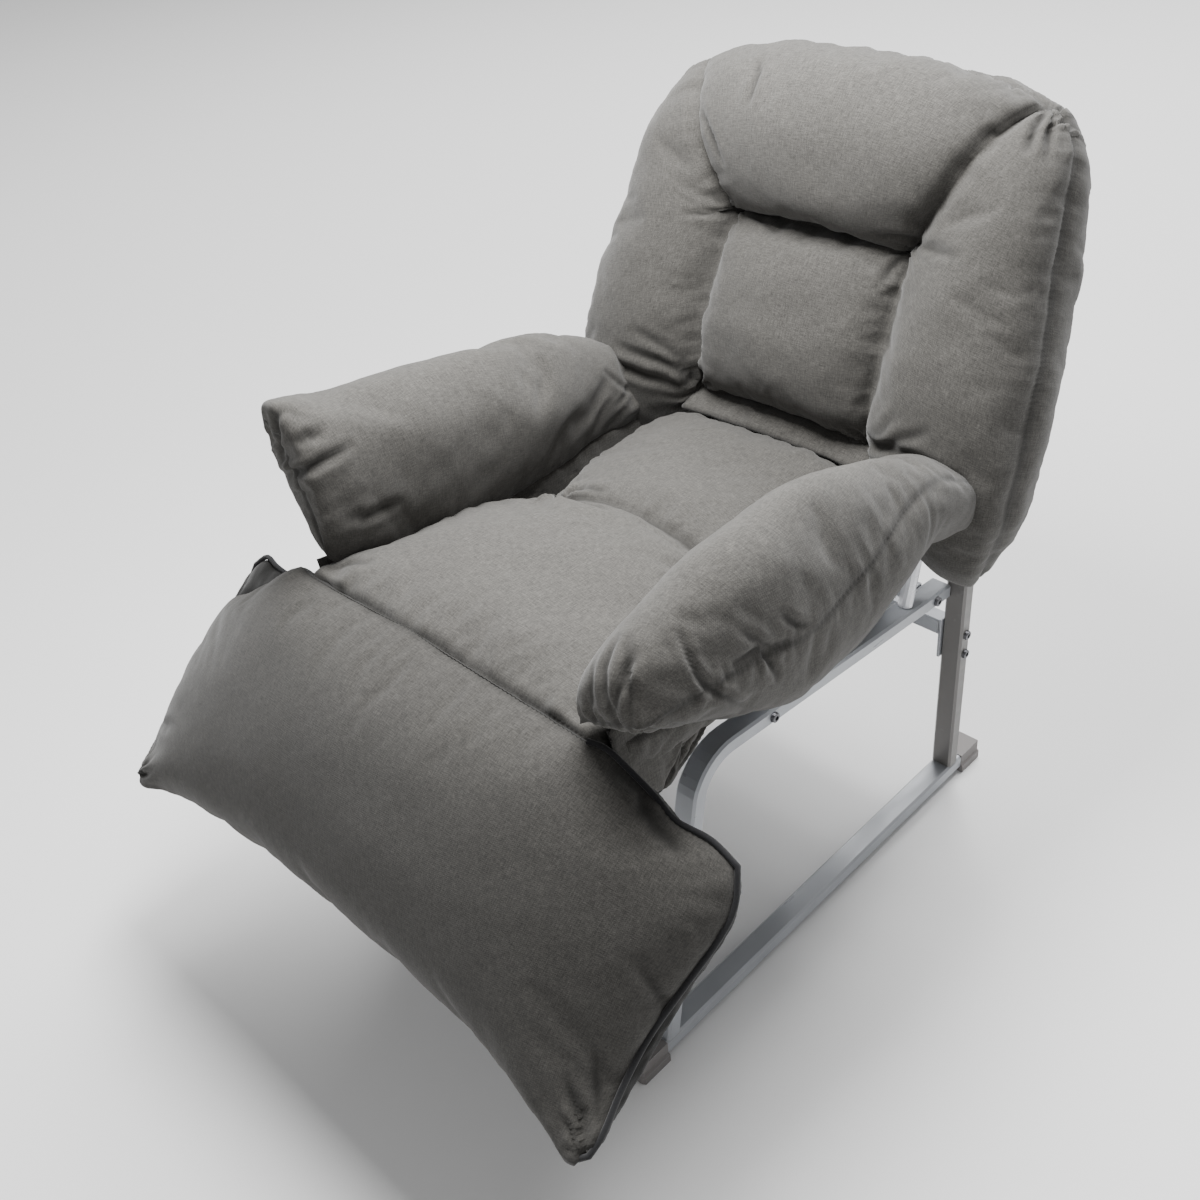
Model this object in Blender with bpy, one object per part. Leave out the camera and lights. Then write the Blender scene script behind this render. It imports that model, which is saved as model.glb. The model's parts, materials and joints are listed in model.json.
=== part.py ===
"""Reclining lounge chair on a steel sled base, with padded arms, back and leg rest.

Metres, +Z up, sitter facing -Y. The chair is the same on both sides of X = 0, and the floor is Z = 0.
Pieces are placed in a build frame whose Y = 0 is near the middle of the seat. The last step moves them all
along Y, so that the origin ends up under the middle of the whole chair.
"""

import math

import bmesh
import bpy
from mathutils import Matrix, Vector

# ---------------------------------------------------------------- driving dimensions
ORIGIN_Y = -0.0372           # build-frame Y of the finished chair's origin

GAP = 0.0003                 # space left between pieces that touch
TUBE_WIDTH = 0.030           # base tube across the chair
TUBE_DEPTH = 0.021           # base tube in the plane of a side frame
TUBE_WALL = 0.0015

BASE_X = 0.235               # middle of base rails and uprights
BASE_FRONT = -0.305
BASE_REAR = 0.333
BASE_BOTTOM = 0.009
UPRIGHT_Y = 0.312
UPRIGHT_TOP = 0.366

BOW_X = 0.213                # middle of the top rails
RAIL_SLOPE = 0.1             # rise of the top rails towards the front
RAIL_REAR = (0.2997, 0.3362)  # centre line of the top rail at its rear end (Y, Z)
BOW_KNEE_Y = -0.186          # where the rail's and leg's centre lines cross
BOW_RADIUS = 0.055
LEG_LEAN = math.radians(16.6)

SHOE_LENGTH = 0.048
SHOE_WIDTH = 0.037
SHOE_TOP = 0.0312
SHOE_FIT = 0.0013            # clearance of a shoe's plug inside the rail

CROSSBAR_Z = 0.271
CROSSBAR_SIDE = 0.024
FLANGE_THICKNESS = 0.004
FLANGE_BOTTOM = 0.222
CROSSBAR_BOLT_Z = (0.2675, 0.2355)

SEAT_BAR_SIDE = 0.020
SEAT_BAR_Y = (-0.070, 0.268)

SEAT_TUBE_X = 0.185
SEAT_TUBE_RADIUS = 0.010
SEAT_TUBE_FRONT = -0.300
SEAT_TUBE_REAR = 0.252

ARM_TUBE_RADIUS = 0.0095

BACK_PIVOT = (0.262, 0.425)
BACK_LEAN = math.radians(22.0)
BACK_TUBE_X = 0.190
BACK_TUBE_RADIUS = 0.011

LEG_PIVOT = (-0.338, 0.432)
LEG_HANG = math.radians(37.7)  # leg rest's lean away from straight down
LEG_TUBE_RADIUS = 0.010

BOLT_RADIUS = 0.004
PIN_RADIUS = 0.005
HINGE_PLATE_X = (0.1714, 0.1744)
HINGE_GEAR_X = (0.1749, 0.1787)

SIDES = (("left", -1.0), ("right", 1.0))


# ---------------------------------------------------------------- scene and materials
def clear_scene():
    """Empties the scene."""
    for obj in list(bpy.data.objects):
        bpy.data.objects.remove(obj, do_unlink=True)


def material(name, colour, roughness, metallic):
    """A Principled material."""
    mat = bpy.data.materials.new(name)
    mat.use_nodes = True
    shader = mat.node_tree.nodes["Principled BSDF"]
    shader.inputs["Base Color"].default_value = (*colour, 1.0)
    shader.inputs["Roughness"].default_value = roughness
    shader.inputs["Metallic"].default_value = metallic
    return mat


# ---------------------------------------------------------------- mesh helpers
def add_object(name, bm, mat, smooth=False):
    """Turns a bmesh into a named object with outward faces."""
    bmesh.ops.recalc_face_normals(bm, faces=bm.faces)
    mesh = bpy.data.meshes.new(name)
    bm.to_mesh(mesh)
    bm.free()
    mesh.materials.append(mat)
    obj = bpy.data.objects.new(name, mesh)
    bpy.context.scene.collection.objects.link(obj)
    if smooth:
        mesh.shade_smooth()
        mesh.set_sharp_from_angle(angle=math.radians(35))
    return obj


def bridge(bm, ring_a, ring_b):
    """Joins two rings of vertices with quads."""
    count = len(ring_a)
    for i in range(count):
        j = (i + 1) % count
        bm.faces.new((ring_a[i], ring_a[j], ring_b[j], ring_b[i]))


def rectangle(width, depth, corner):
    """A rectangle with cut corners, as points of a cross-section."""
    w, d = width / 2, depth / 2
    points = []
    for sx, sy in ((1, 1), (-1, 1), (-1, -1), (1, -1)):
        pair = [(sx * w, sy * (d - corner)), (sx * (w - corner), sy * d)]
        points += pair if sx * sy > 0 else pair[::-1]
    return points


def circle(radius, count):
    """A circle as points of a cross-section."""
    turns = [2 * math.pi * i / count for i in range(count)]
    return [(radius * math.cos(t), radius * math.sin(t)) for t in turns]


def section_frames(path, side):
    """The two axes of the cross-section at each point of a path; side is the first axis at its start."""
    last = len(path) - 1
    axes = []
    for i in range(last + 1):
        ahead = (path[min(i + 1, last)] - path[i]).normalized() if i < last else None
        behind = (path[i] - path[i - 1]).normalized() if i > 0 else None
        tangent = ((ahead or behind) + (behind or ahead)).normalized()
        side = (side - side.dot(tangent) * tangent).normalized()
        axes.append((side, tangent.cross(side).normalized()))
    return axes


def sweep(name, path, outer, inner, mat, side=Vector((1, 0, 0)), smooth=False):
    """A tube along a path. With an inner section its ends are open, and without one it is solid."""
    bm = bmesh.new()
    axes = section_frames(path, side)
    walls = []
    for section in (outer, inner) if inner else (outer,):
        rings = []
        for point, (a, b) in zip(path, axes):
            rings.append([bm.verts.new(point + a * u + b * v) for u, v in section])
        for ring_a, ring_b in zip(rings, rings[1:]):
            bridge(bm, ring_a, ring_b)
        walls.append(rings)
    for end in (0, -1):
        if inner:
            bridge(bm, walls[0][end], walls[1][end])
        else:
            bm.faces.new(walls[0][end])
    return add_object(name, bm, mat, smooth)


def box(name, low, high, mat, corner=0.0):
    """A box between two corners, with its edges bevelled."""
    bm = bmesh.new()
    bmesh.ops.create_cube(bm, size=1.0)
    size = Vector(high) - Vector(low)
    bmesh.ops.scale(bm, vec=size, verts=bm.verts)
    bmesh.ops.translate(bm, vec=(Vector(high) + Vector(low)) / 2, verts=bm.verts)
    if corner:
        bmesh.ops.bevel(bm, geom=list(bm.edges), offset=corner, segments=1, affect="EDGES")
    return add_object(name, bm, mat)


def turned(name, centre, profile, count, mat):
    """A turned piece about a line along X, from (x, radius) pairs."""
    bm = bmesh.new()
    rings = []
    for x, radius in profile:
        ring = [Vector((x, u, v)) + Vector((0, *centre)) for u, v in circle(radius, count)]
        rings.append([bm.verts.new(p) for p in ring])
    for ring_a, ring_b in zip(rings, rings[1:]):
        bridge(bm, ring_a, ring_b)
    bm.faces.new(rings[0])
    bm.faces.new(rings[-1])
    return add_object(name, bm, mat, smooth=True)


def loft(name, rings, mat):
    """A closed solid through flat rings of points."""
    bm = bmesh.new()
    loops = [[bm.verts.new(p) for p in ring] for ring in rings]
    for ring_a, ring_b in zip(loops, loops[1:]):
        bridge(bm, ring_a, ring_b)
    bm.faces.new(loops[0])
    bm.faces.new(loops[-1])
    return add_object(name, bm, mat, smooth=True)


def cushion_ring(centre, across, through, half_width, half_depth, squareness=3.4, count=20):
    """One rounded cross-section of a cushion, as a superellipse."""
    points = []
    for i in range(count):
        turn = 2 * math.pi * (i + 0.5) / count
        c, s = math.cos(turn), math.sin(turn)
        u = math.copysign(abs(c) ** (2 / squareness), c) * half_width
        v = math.copysign(abs(s) ** (2 / squareness), s) * half_depth
        points.append(centre + across * u + through * v)
    return points


def drill(obj, cutter):
    """Cuts one object out of another; the cutter is a guide, not a piece."""
    cutter.hide_render = True
    cutter.display_type = "WIRE"
    cut = obj.modifiers.new("cut", "BOOLEAN")
    cut.operation = "DIFFERENCE"
    cut.solver = "EXACT"
    cut.object = cutter


def cross_hole(obj, name, x_from, x_to, centre, radius):
    """Drills a hole along X."""
    low, high = min(x_from, x_to), max(x_from, x_to)
    cutter = turned(name, centre, ((low, radius), (high, radius)), 12, obj.data.materials[0])
    drill(obj, cutter)


def filleted(points, radii, steps=5):
    """A path through points with its inner corners rounded; radii has one value for each inner corner."""
    path = [Vector(points[0])]
    corners = zip(points, points[1:], points[2:], radii)
    for before, corner, after, radius in corners:
        corner = Vector(corner)
        back = (Vector(before) - corner).normalized()
        ahead = (Vector(after) - corner).normalized()
        half = back.angle(ahead) / 2
        start = corner + back * radius / math.tan(half)
        centre = corner + (back + ahead).normalized() * radius / math.sin(half)
        arm = start - centre
        axis = back.cross(ahead).normalized()
        turn = -(math.pi - 2 * half)
        for i in range(steps + 1):
            path.append(centre + Matrix.Rotation(turn * i / steps, 3, axis) @ arm)
    path.append(Vector(points[-1]))
    return path


def mirrored(points, sign):
    """Points for the left or right side of the chair."""
    return [Vector((p[0] * sign, p[1], p[2])) for p in points]


# ---------------------------------------------------------------- places that pieces share
def rail_centre(y):
    """Height of the top rail's centre line."""
    return RAIL_REAR[1] + (RAIL_REAR[0] - y) * RAIL_SLOPE


def seat_tube_centre(y):
    """Height of the seat tube's centre line, which lies on the seat crossbars."""
    bar_corner = SEAT_BAR_SIDE / 2 * (1 + RAIL_SLOPE)
    return rail_centre(y) + bar_corner + SEAT_TUBE_RADIUS * math.hypot(1, RAIL_SLOPE) + GAP


def on_back(x, along, front):
    """A point on the backrest: along runs up from the pivot, front is out of its face."""
    up = Vector((0, math.sin(BACK_LEAN), math.cos(BACK_LEAN)))
    out = Vector((0, -math.cos(BACK_LEAN), math.sin(BACK_LEAN)))
    return Vector((x, *BACK_PIVOT)) + up * along + out * front


def on_leg(x, along, front):
    """A point on the leg rest: along runs down from the pivot, front is out of its face."""
    down = Vector((0, -math.sin(LEG_HANG), -math.cos(LEG_HANG)))
    out = Vector((0, -math.cos(LEG_HANG), math.sin(LEG_HANG)))
    return Vector((x, *LEG_PIVOT)) + down * along + out * front


# ---------------------------------------------------------------- steel base
def base_rail(name, sign, mat):
    """Floor tube of one side frame."""
    middle = BASE_BOTTOM + TUBE_DEPTH / 2
    path = mirrored([(BASE_X, BASE_FRONT, middle), (BASE_X, BASE_REAR, middle)], sign)
    outer = rectangle(TUBE_WIDTH, TUBE_DEPTH, 0.003)
    inner = rectangle(TUBE_WIDTH - 2 * TUBE_WALL, TUBE_DEPTH - 2 * TUBE_WALL, 0.002)
    sweep(name, path, outer, inner, mat)


def foot_shoe(name, sign, rail_end, outwards, mat):
    """Moulded foot: a stepped block past the rail's end, with a plug inside the rail."""
    x = BASE_X * sign
    start = rail_end + outwards * GAP
    end = rail_end + outwards * SHOE_LENGTH
    plug_end = rail_end - outwards * 0.020
    half = SHOE_WIDTH / 2
    neck = half - 0.003
    plug_w = TUBE_WIDTH / 2 - TUBE_WALL - SHOE_FIT
    plug_low = BASE_BOTTOM + TUBE_WALL + SHOE_FIT
    plug_high = BASE_BOTTOM + TUBE_DEPTH - TUBE_WALL - SHOE_FIT
    bm = bmesh.new()

    def ring(y, w_low, w_high, low, step, high):
        rows = ((-w_low, low), (w_low, low), (w_low, step), (w_high, step + 0.002), (w_high, high))
        points = list(rows) + [(-w_high, high), (-w_high, step + 0.002), (-w_low, step)]
        return [bm.verts.new((x + u, y, z)) for u, z in points]

    rings = [
        ring(end, half - 0.004, neck - 0.004, 0.002, 0.010, SHOE_TOP - 0.006),
        ring(end - outwards * 0.004, half, neck, 0.0, 0.012, SHOE_TOP),
        ring(start, half, neck, 0.0, 0.012, SHOE_TOP),
        ring(start, plug_w, plug_w, plug_low, plug_low + 0.004, plug_high),
        ring(plug_end, plug_w - 0.001, plug_w - 0.001, plug_low + 0.001, plug_low + 0.005, plug_high - 0.001),
    ]
    for ring_a, ring_b in zip(rings, rings[1:]):
        bridge(bm, ring_a, ring_b)
    bm.faces.new(rings[0])
    bm.faces.new(rings[-1])
    add_object(name, bm, mat)


def rear_upright(name, sign, mat):
    """Rear post of one side frame, standing on the floor tube."""
    foot = BASE_BOTTOM + TUBE_DEPTH + GAP
    path = mirrored([(BASE_X, UPRIGHT_Y, foot), (BASE_X, UPRIGHT_Y, UPRIGHT_TOP)], sign)
    outer = rectangle(TUBE_WIDTH, TUBE_DEPTH, 0.003)
    inner = rectangle(TUBE_WIDTH - 2 * TUBE_WALL, TUBE_DEPTH - 2 * TUBE_WALL, 0.002)
    post = sweep(name, path, outer, inner, mat)
    for i, z in enumerate(CROSSBAR_BOLT_Z):
        cross_hole(post, f"{name}_hole_{i}", 0.21 * sign, 0.26 * sign, (UPRIGHT_Y, z), BOLT_RADIUS + GAP)


def side_bow(name, sign, mat):
    """Top rail and front leg, bent from one tube; the leg spreads out to stand on the floor tube."""
    foot_z = BASE_BOTTOM + TUBE_DEPTH + GAP
    knee = (BOW_X, BOW_KNEE_Y, rail_centre(BOW_KNEE_Y))
    foot_y = BOW_KNEE_Y - (knee[2] - foot_z) * math.tan(LEG_LEAN)
    rear = (BOW_X, RAIL_REAR[0], RAIL_REAR[1])
    path = filleted([rear, knee, (BOW_X, foot_y, foot_z)], [BOW_RADIUS], steps=8)
    outer = rectangle(TUBE_WIDTH, TUBE_DEPTH, 0.003)
    inner = rectangle(TUBE_WIDTH - 2 * TUBE_WALL, TUBE_DEPTH - 2 * TUBE_WALL, 0.002)
    bow = sweep(name, path, outer, inner, mat)
    level_ends(bow, foot_z)
    spread_leg(bow, path[-2].z, foot_z)
    for vertex in bow.data.vertices:
        vertex.co.x *= sign
    if sign < 0:
        bow.data.flip_normals()
    for i, y in enumerate(SEAT_BAR_Y):
        hole = (y, rail_centre(y))
        cross_hole(bow, f"{name}_hole_{i}", 0.19 * sign, 0.24 * sign, hole, BOLT_RADIUS + GAP)


def level_ends(bow, foot_z):
    """Cuts the leg's foot level and the rail's rear end upright."""
    rear_y = max(v.co.y for v in bow.data.vertices)
    for vertex in bow.data.vertices:
        if vertex.co.z < foot_z + 0.02:
            vertex.co.y += (foot_z - vertex.co.z) * math.tan(LEG_LEAN)
            vertex.co.z = foot_z
        if vertex.co.y > rear_y - 0.01:
            vertex.co.z += (vertex.co.y - RAIL_REAR[0]) * RAIL_SLOPE
            vertex.co.y = RAIL_REAR[0]


def spread_leg(bow, knee_z, foot_z):
    """Leans the leg outwards so that its foot meets the floor tube."""
    for vertex in bow.data.vertices:
        if vertex.co.y < 0:
            down = max(0.0, (knee_z - vertex.co.z) / (knee_z - foot_z))
            vertex.co.x += down * (BASE_X - BOW_X)


def rear_crossbar(name, mat):
    """Tube between the rear posts."""
    reach = BASE_X - TUBE_WIDTH / 2 - FLANGE_THICKNESS - 3 * GAP
    y = UPRIGHT_Y - 0.0015
    path = [Vector((-reach, y, CROSSBAR_Z)), Vector((reach, y, CROSSBAR_Z))]
    outer = rectangle(CROSSBAR_SIDE, CROSSBAR_SIDE, 0.002)
    inner = rectangle(CROSSBAR_SIDE - 2 * TUBE_WALL, CROSSBAR_SIDE - 2 * TUBE_WALL, 0.001)
    sweep(name, path, outer, inner, mat, side=Vector((0, 1, 0)))


def crossbar_flange(name, sign, mat):
    """End plate of the rear crossbar, against the inner side of a rear post."""
    outer_x = BASE_X - TUBE_WIDTH / 2 - GAP
    inner_x = outer_x - FLANGE_THICKNESS
    low = (min(inner_x * sign, outer_x * sign), UPRIGHT_Y - 0.0135, FLANGE_BOTTOM)
    high = (max(inner_x * sign, outer_x * sign), UPRIGHT_Y + 0.0105, CROSSBAR_Z + 0.014)
    plate = box(name, low, high, mat, corner=0.0006)
    for i, z in enumerate(CROSSBAR_BOLT_Z):
        cross_hole(plate, f"{name}_hole_{i}", 0.20 * sign, 0.23 * sign, (UPRIGHT_Y, z), BOLT_RADIUS + GAP)


def bolt(name, sign, face_x, inner_x, centre, mat):
    """Cap-head bolt: its head lies on an outer face and its shank runs inwards."""
    head = face_x + GAP
    socket = 0.0022
    profile = (
        (inner_x * sign, BOLT_RADIUS),
        (head * sign, BOLT_RADIUS),
        (head * sign, 0.0068),
        ((head + 0.0036) * sign, 0.0062),
        ((head + 0.0042) * sign, 0.0052),
        ((head + 0.0042) * sign, 0.0030),
        ((head + 0.0042 - socket) * sign, 0.0030),
    )
    turned(name, centre, profile, 12, mat)


def seat_crossbar(name, y, mat):
    """Tube between the top rails; each end is closed by a wall with a bolt hole."""
    reach = BOW_X - TUBE_WIDTH / 2 - GAP
    z = rail_centre(y)
    half = SEAT_BAR_SIDE / 2
    wall = TUBE_WALL
    bar = box(name, (-reach, y - half, z - half), (reach, y + half, z + half), mat)
    hollow = reach - 0.004
    room = half - wall
    cutter = box(
        f"{name}_hollow", (-hollow, y - room, z - room), (hollow, y + room, z + room), mat
    )
    drill(bar, cutter)
    for side, sign in SIDES:
        cross_hole(bar, f"{name}_hole_{side}", 0.18 * sign, 0.20 * sign, (y, z), BOLT_RADIUS + GAP)


# ---------------------------------------------------------------- seat frame and arms
def seat_side_tube(name, sign, mat):
    """Round tube under one edge of the seat, lying on the crossbars."""
    ends = (SEAT_TUBE_FRONT, SEAT_TUBE_REAR)
    path = mirrored([(SEAT_TUBE_X, y, seat_tube_centre(y)) for y in ends], sign)
    inner = circle(SEAT_TUBE_RADIUS - TUBE_WALL, 16)
    sweep(name, path, circle(SEAT_TUBE_RADIUS, 16), inner, mat, smooth=True)


def seat_sling(name, mat):
    """Woven panel stretched over the seat tubes."""
    thickness = 0.002
    reach = 0.194
    lift = SEAT_TUBE_RADIUS * math.hypot(1, RAIL_SLOPE) + GAP
    bm = bmesh.new()
    rings = []
    for y in (-0.262, 0.205):
        low = seat_tube_centre(y) + lift
        corners = ((-reach, low), (reach, low), (reach, low + thickness), (-reach, low + thickness))
        rings.append([bm.verts.new((x, y, z)) for x, z in corners])
    bridge(bm, *rings)
    bm.faces.new(rings[0])
    bm.faces.new(rings[1])
    add_object(name, bm, mat)


def arm_path(sign):
    """Centre line of an arm tube, from its rear foot over the arm to its front foot."""
    rear_y, front_y = 0.217, -0.072
    top_of_rail = TUBE_DEPTH / 2 * math.hypot(1, RAIL_SLOPE) + GAP
    corners = [
        (BOW_X, rear_y, rail_centre(rear_y) + top_of_rail + 0.001),
        (BOW_X + 0.004, rear_y + 0.010, 0.430),
        (BOW_X + 0.048, 0.170, 0.520),
        (BOW_X + 0.050, -0.262, 0.612),
        (BOW_X, front_y, rail_centre(front_y) + top_of_rail + 0.007),
    ]
    return filleted(mirrored(corners, sign), [0.040, 0.045, 0.045], steps=5)


def arm_tube(name, sign, mat):
    """Bent round tube that carries an arm pad."""
    sweep(name, arm_path(sign), circle(ARM_TUBE_RADIUS, 12), None, mat, smooth=True)


def arm_pad(name, sign, mat):
    """Padded sleeve over the arm tube, with a channel that the tube runs in."""
    stations = (
        (0.165, 0.550, 0.034, 0.036),
        (0.140, 0.558, 0.046, 0.058),
        (0.060, 0.577, 0.052, 0.078),
        (-0.040, 0.590, 0.052, 0.096),
        (-0.140, 0.600, 0.052, 0.100),
        (-0.240, 0.615, 0.052, 0.090),
        (-0.310, 0.625, 0.050, 0.075),
        (-0.345, 0.626, 0.036, 0.050),
    )
    across, up = Vector((1, 0, 0)), Vector((0, 0, 1))
    rings = []
    for y, z, half_width, half_height in stations:
        centre = Vector((0.283 * sign, y, z))
        rings.append(cushion_ring(centre, across, up, half_width, half_height, 2.8, 16))
    pad = loft(name, rings, mat)
    channel = circle(ARM_TUBE_RADIUS + 2 * GAP, 12)
    drill(pad, sweep(f"{name}_channel", arm_path(sign), channel, None, mat))


def seat_cushion(name, mat):
    """Seat pad on the sling, thicker at the rear, raised clear of the leg hinges at its front."""
    stations = (
        (-0.335, 0.466, 0.518, 0.190),
        (-0.318, 0.461, 0.532, 0.199),
        (-0.296, 0.460, 0.541, 0.2005),
        (-0.262, 0.434, 0.549, 0.2005),
        (-0.150, 0.423, 0.558, 0.2005),
        (0.000, 0.408, 0.556, 0.2005),
        (0.110, 0.397, 0.546, 0.2005),
        (0.180, 0.392, 0.538, 0.199),
        (0.205, 0.402, 0.520, 0.190),
    )
    across, up = Vector((1, 0, 0)), Vector((0, 0, 1))
    rings = []
    for y, low, high, half_width in stations:
        centre = Vector((0, y, (low + high) / 2))
        rings.append(cushion_ring(centre, across, up, half_width, (high - low) / 2, 5.0))
    loft(name, rings, mat)


# ---------------------------------------------------------------- click hinges
def polar_plate(name, centre, x_range, radii, hole_radius, mat):
    """A flat plate round a pivot: radii are its outline's distances at even turns from straight up to rear."""
    count = len(radii)
    bm = bmesh.new()
    rings = []
    for x in x_range:
        for edge in (radii, [hole_radius] * count):
            ring = []
            for i, radius in enumerate(edge):
                turn = 2 * math.pi * i / count
                y = centre[0] + radius * math.sin(turn)
                z = centre[1] + radius * math.cos(turn)
                ring.append(bm.verts.new((x, y, z)))
            rings.append(ring)
    outer_a, hole_a, outer_b, hole_b = rings
    bridge(bm, outer_a, hole_a)
    bridge(bm, outer_b, hole_b)
    bridge(bm, outer_a, outer_b)
    bridge(bm, hole_a, hole_b)
    return add_object(name, bm, mat)


def plate_outline(disc, arm_turn, arm_length, arm_half, teeth=0, tooth=0.0, count=32):
    """Outline radii of a disc with one straight arm, and click teeth round the rest of it."""
    radii = []
    for i in range(count):
        turn = 2 * math.pi * i / count
        radius = disc
        if teeth:
            phase = (turn * teeth / (2 * math.pi)) % 1.0
            radius += tooth * (1.0 - abs(2.0 * phase - 1.0))
        off = (turn - arm_turn + math.pi) % (2 * math.pi) - math.pi
        if abs(off) < math.pi / 2:
            sine = max(abs(math.sin(off)), 1e-6)
            radius = max(radius, min(arm_length / math.cos(off), arm_half / sine))
        radii.append(radius)
    return radii


def side_range(x_range, sign):
    """A pair of X values for one side of the chair, lowest first."""
    return sorted(x * sign for x in x_range)


def hinge_pin(name, sign, pivot, mat):
    """Rivet through the fixed plate and the toothed plate."""
    inner, outer = HINGE_PLATE_X[0] - GAP, HINGE_GEAR_X[1] + GAP
    profile = (
        ((inner - 0.0025) * sign, 0.0060),
        ((inner - 0.0018) * sign, 0.0080),
        (inner * sign, 0.0080),
        (inner * sign, PIN_RADIUS),
        (outer * sign, PIN_RADIUS),
        (outer * sign, 0.0068),
        ((outer + 0.0018) * sign, 0.0056),
    )
    turned(name, pivot, profile, 14, mat)


def click_spring(name, sign, pivot, radius, turn_from, turn_to, mat):
    """Leaf spring that clicks over the teeth, folded from the fixed plate."""
    steps = 8
    inner_r, outer_r = radius + 0.0006, radius + 0.0020
    x_low, x_high = side_range((HINGE_PLATE_X[1] + GAP, HINGE_GEAR_X[1]), sign)
    bm = bmesh.new()
    rings = []
    for i in range(steps + 1):
        turn = turn_from + (turn_to - turn_from) * i / steps
        direction = Vector((0, math.sin(turn), math.cos(turn)))
        ring = []
        for x, r in ((x_low, inner_r), (x_high, inner_r), (x_high, outer_r), (x_low, outer_r)):
            ring.append(bm.verts.new(Vector((x, *pivot)) + direction * r))
        rings.append(ring)
    for ring_a, ring_b in zip(rings, rings[1:]):
        bridge(bm, ring_a, ring_b)
    bm.faces.new(rings[0])
    bm.faces.new(rings[-1])
    add_object(name, bm, mat)


def click_hinge(prefix, side, sign, pivot, fixed, moving, spring_turns, mats):
    """A click hinge: fixed plate, toothed plate, pin and leaf spring.

    fixed and moving give disc radius, arm direction, arm length and arm half width.
    """
    steel, dark, bright = mats
    hole = PIN_RADIUS + GAP
    plate_x = side_range(HINGE_PLATE_X, sign)
    gear_x = side_range(HINGE_GEAR_X, sign)
    polar_plate(f"{prefix}_hinge_plate_{side}", pivot, plate_x, plate_outline(*fixed), hole, steel)
    outline = plate_outline(*moving, teeth=24, tooth=0.002, count=48)
    polar_plate(f"{prefix}_hinge_gear_{side}", pivot, gear_x, outline, hole, dark)
    hinge_pin(f"{prefix}_hinge_pin_{side}", sign, pivot, bright)
    tip = moving[0] + 0.002
    click_spring(f"{prefix}_hinge_spring_{side}", sign, pivot, tip, *spring_turns, bright)


def back_hinge(side, sign, mats):
    """Click hinge between the seat frame and the back frame."""
    fixed = (0.0240, math.radians(213), 0.072, 0.0105)
    moving = (0.0250, BACK_LEAN, 0.095, 0.0105)
    spring_turns = (math.radians(240), math.radians(300))
    click_hinge("back", side, sign, BACK_PIVOT, fixed, moving, spring_turns, mats)


def leg_hinge(side, sign, mats):
    """Click hinge between the seat frame and the leg-rest frame."""
    fixed = (0.0200, math.radians(101), 0.078, 0.0085)
    moving = (0.0190, math.radians(180) + LEG_HANG, 0.080, 0.0095)
    spring_turns = (math.radians(20), math.radians(75))
    click_hinge("leg", side, sign, LEG_PIVOT, fixed, moving, spring_turns, mats)


# ---------------------------------------------------------------- backrest
def back_frame(name, mat):
    """Bent tube round the backrest."""
    x = BACK_TUBE_X
    corners = [on_back(-x, 0.036, 0), on_back(-x, 0.500, 0), on_back(x, 0.500, 0), on_back(x, 0.036, 0)]
    path = filleted(corners, [0.085, 0.085], steps=7)
    inner = circle(BACK_TUBE_RADIUS - TUBE_WALL, 12)
    sweep(name, path, circle(BACK_TUBE_RADIUS, 12), inner, mat, smooth=True)


def cross_tube(name, place, along, reach, radius, mat):
    """Round tube between the two sides of a moving frame."""
    path = [place(-reach, along, 0), place(reach, along, 0)]
    side = (place(0, along, 1) - place(0, along, 0)).normalized()
    sweep(name, path, circle(radius, 12), circle(radius - TUBE_WALL, 12), mat, side=side, smooth=True)


def back_sling(name, mat):
    """Woven panel over the front of the back frame."""
    reach, low, high = 0.196, 0.105, 0.500
    near, far = BACK_TUBE_RADIUS + GAP, BACK_TUBE_RADIUS + 0.0022
    bm = bmesh.new()
    rings = []
    for along in (low, high):
        corners = ((-reach, near), (reach, near), (reach, far), (-reach, far))
        rings.append([bm.verts.new(on_back(x, along, front)) for x, front in corners])
    bridge(bm, *rings)
    bm.faces.new(rings[0])
    bm.faces.new(rings[1])
    add_object(name, bm, mat)


def pad_on(name, place, stations, squareness, mat):
    """A cushion or cover on a moving frame, from (along, half width, rear face, front face) stations."""
    across = Vector((1, 0, 0))
    rings = []
    for along, half_width, rear, front in stations:
        through = (place(0, along, 1) - place(0, along, 0)).normalized()
        centre = place(0, along, (rear + front) / 2)
        rings.append(cushion_ring(centre, across, through, half_width, (front - rear) / 2, squareness))
    loft(name, rings, mat)


def back_cushion(name, mat):
    """Front padding of the backrest, widest at the middle."""
    stations = (
        (0.050, 0.262, 0.0145, 0.038),
        (0.085, 0.305, 0.0145, 0.075),
        (0.140, 0.332, 0.0145, 0.115),
        (0.240, 0.345, 0.0145, 0.130),
        (0.340, 0.342, 0.0145, 0.132),
        (0.440, 0.315, 0.0145, 0.132),
        (0.505, 0.280, 0.0145, 0.126),
        (0.542, 0.238, 0.0145, 0.108),
        (0.556, 0.195, 0.0200, 0.085),
    )
    pad_on(name, on_back, stations, 3.2, mat)


def back_rear_cover(name, mat):
    """Rear panel of the backrest, behind the frame."""
    rear_face = -(BACK_TUBE_RADIUS + 0.0015)
    stations = (
        (0.050, 0.258, -0.030, rear_face),
        (0.085, 0.295, -0.042, rear_face),
        (0.240, 0.330, -0.048, rear_face),
        (0.440, 0.305, -0.048, rear_face),
        (0.510, 0.262, -0.044, rear_face),
        (0.546, 0.200, -0.030, rear_face),
    )
    pad_on(name, on_back, stations, 3.2, mat)


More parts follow.
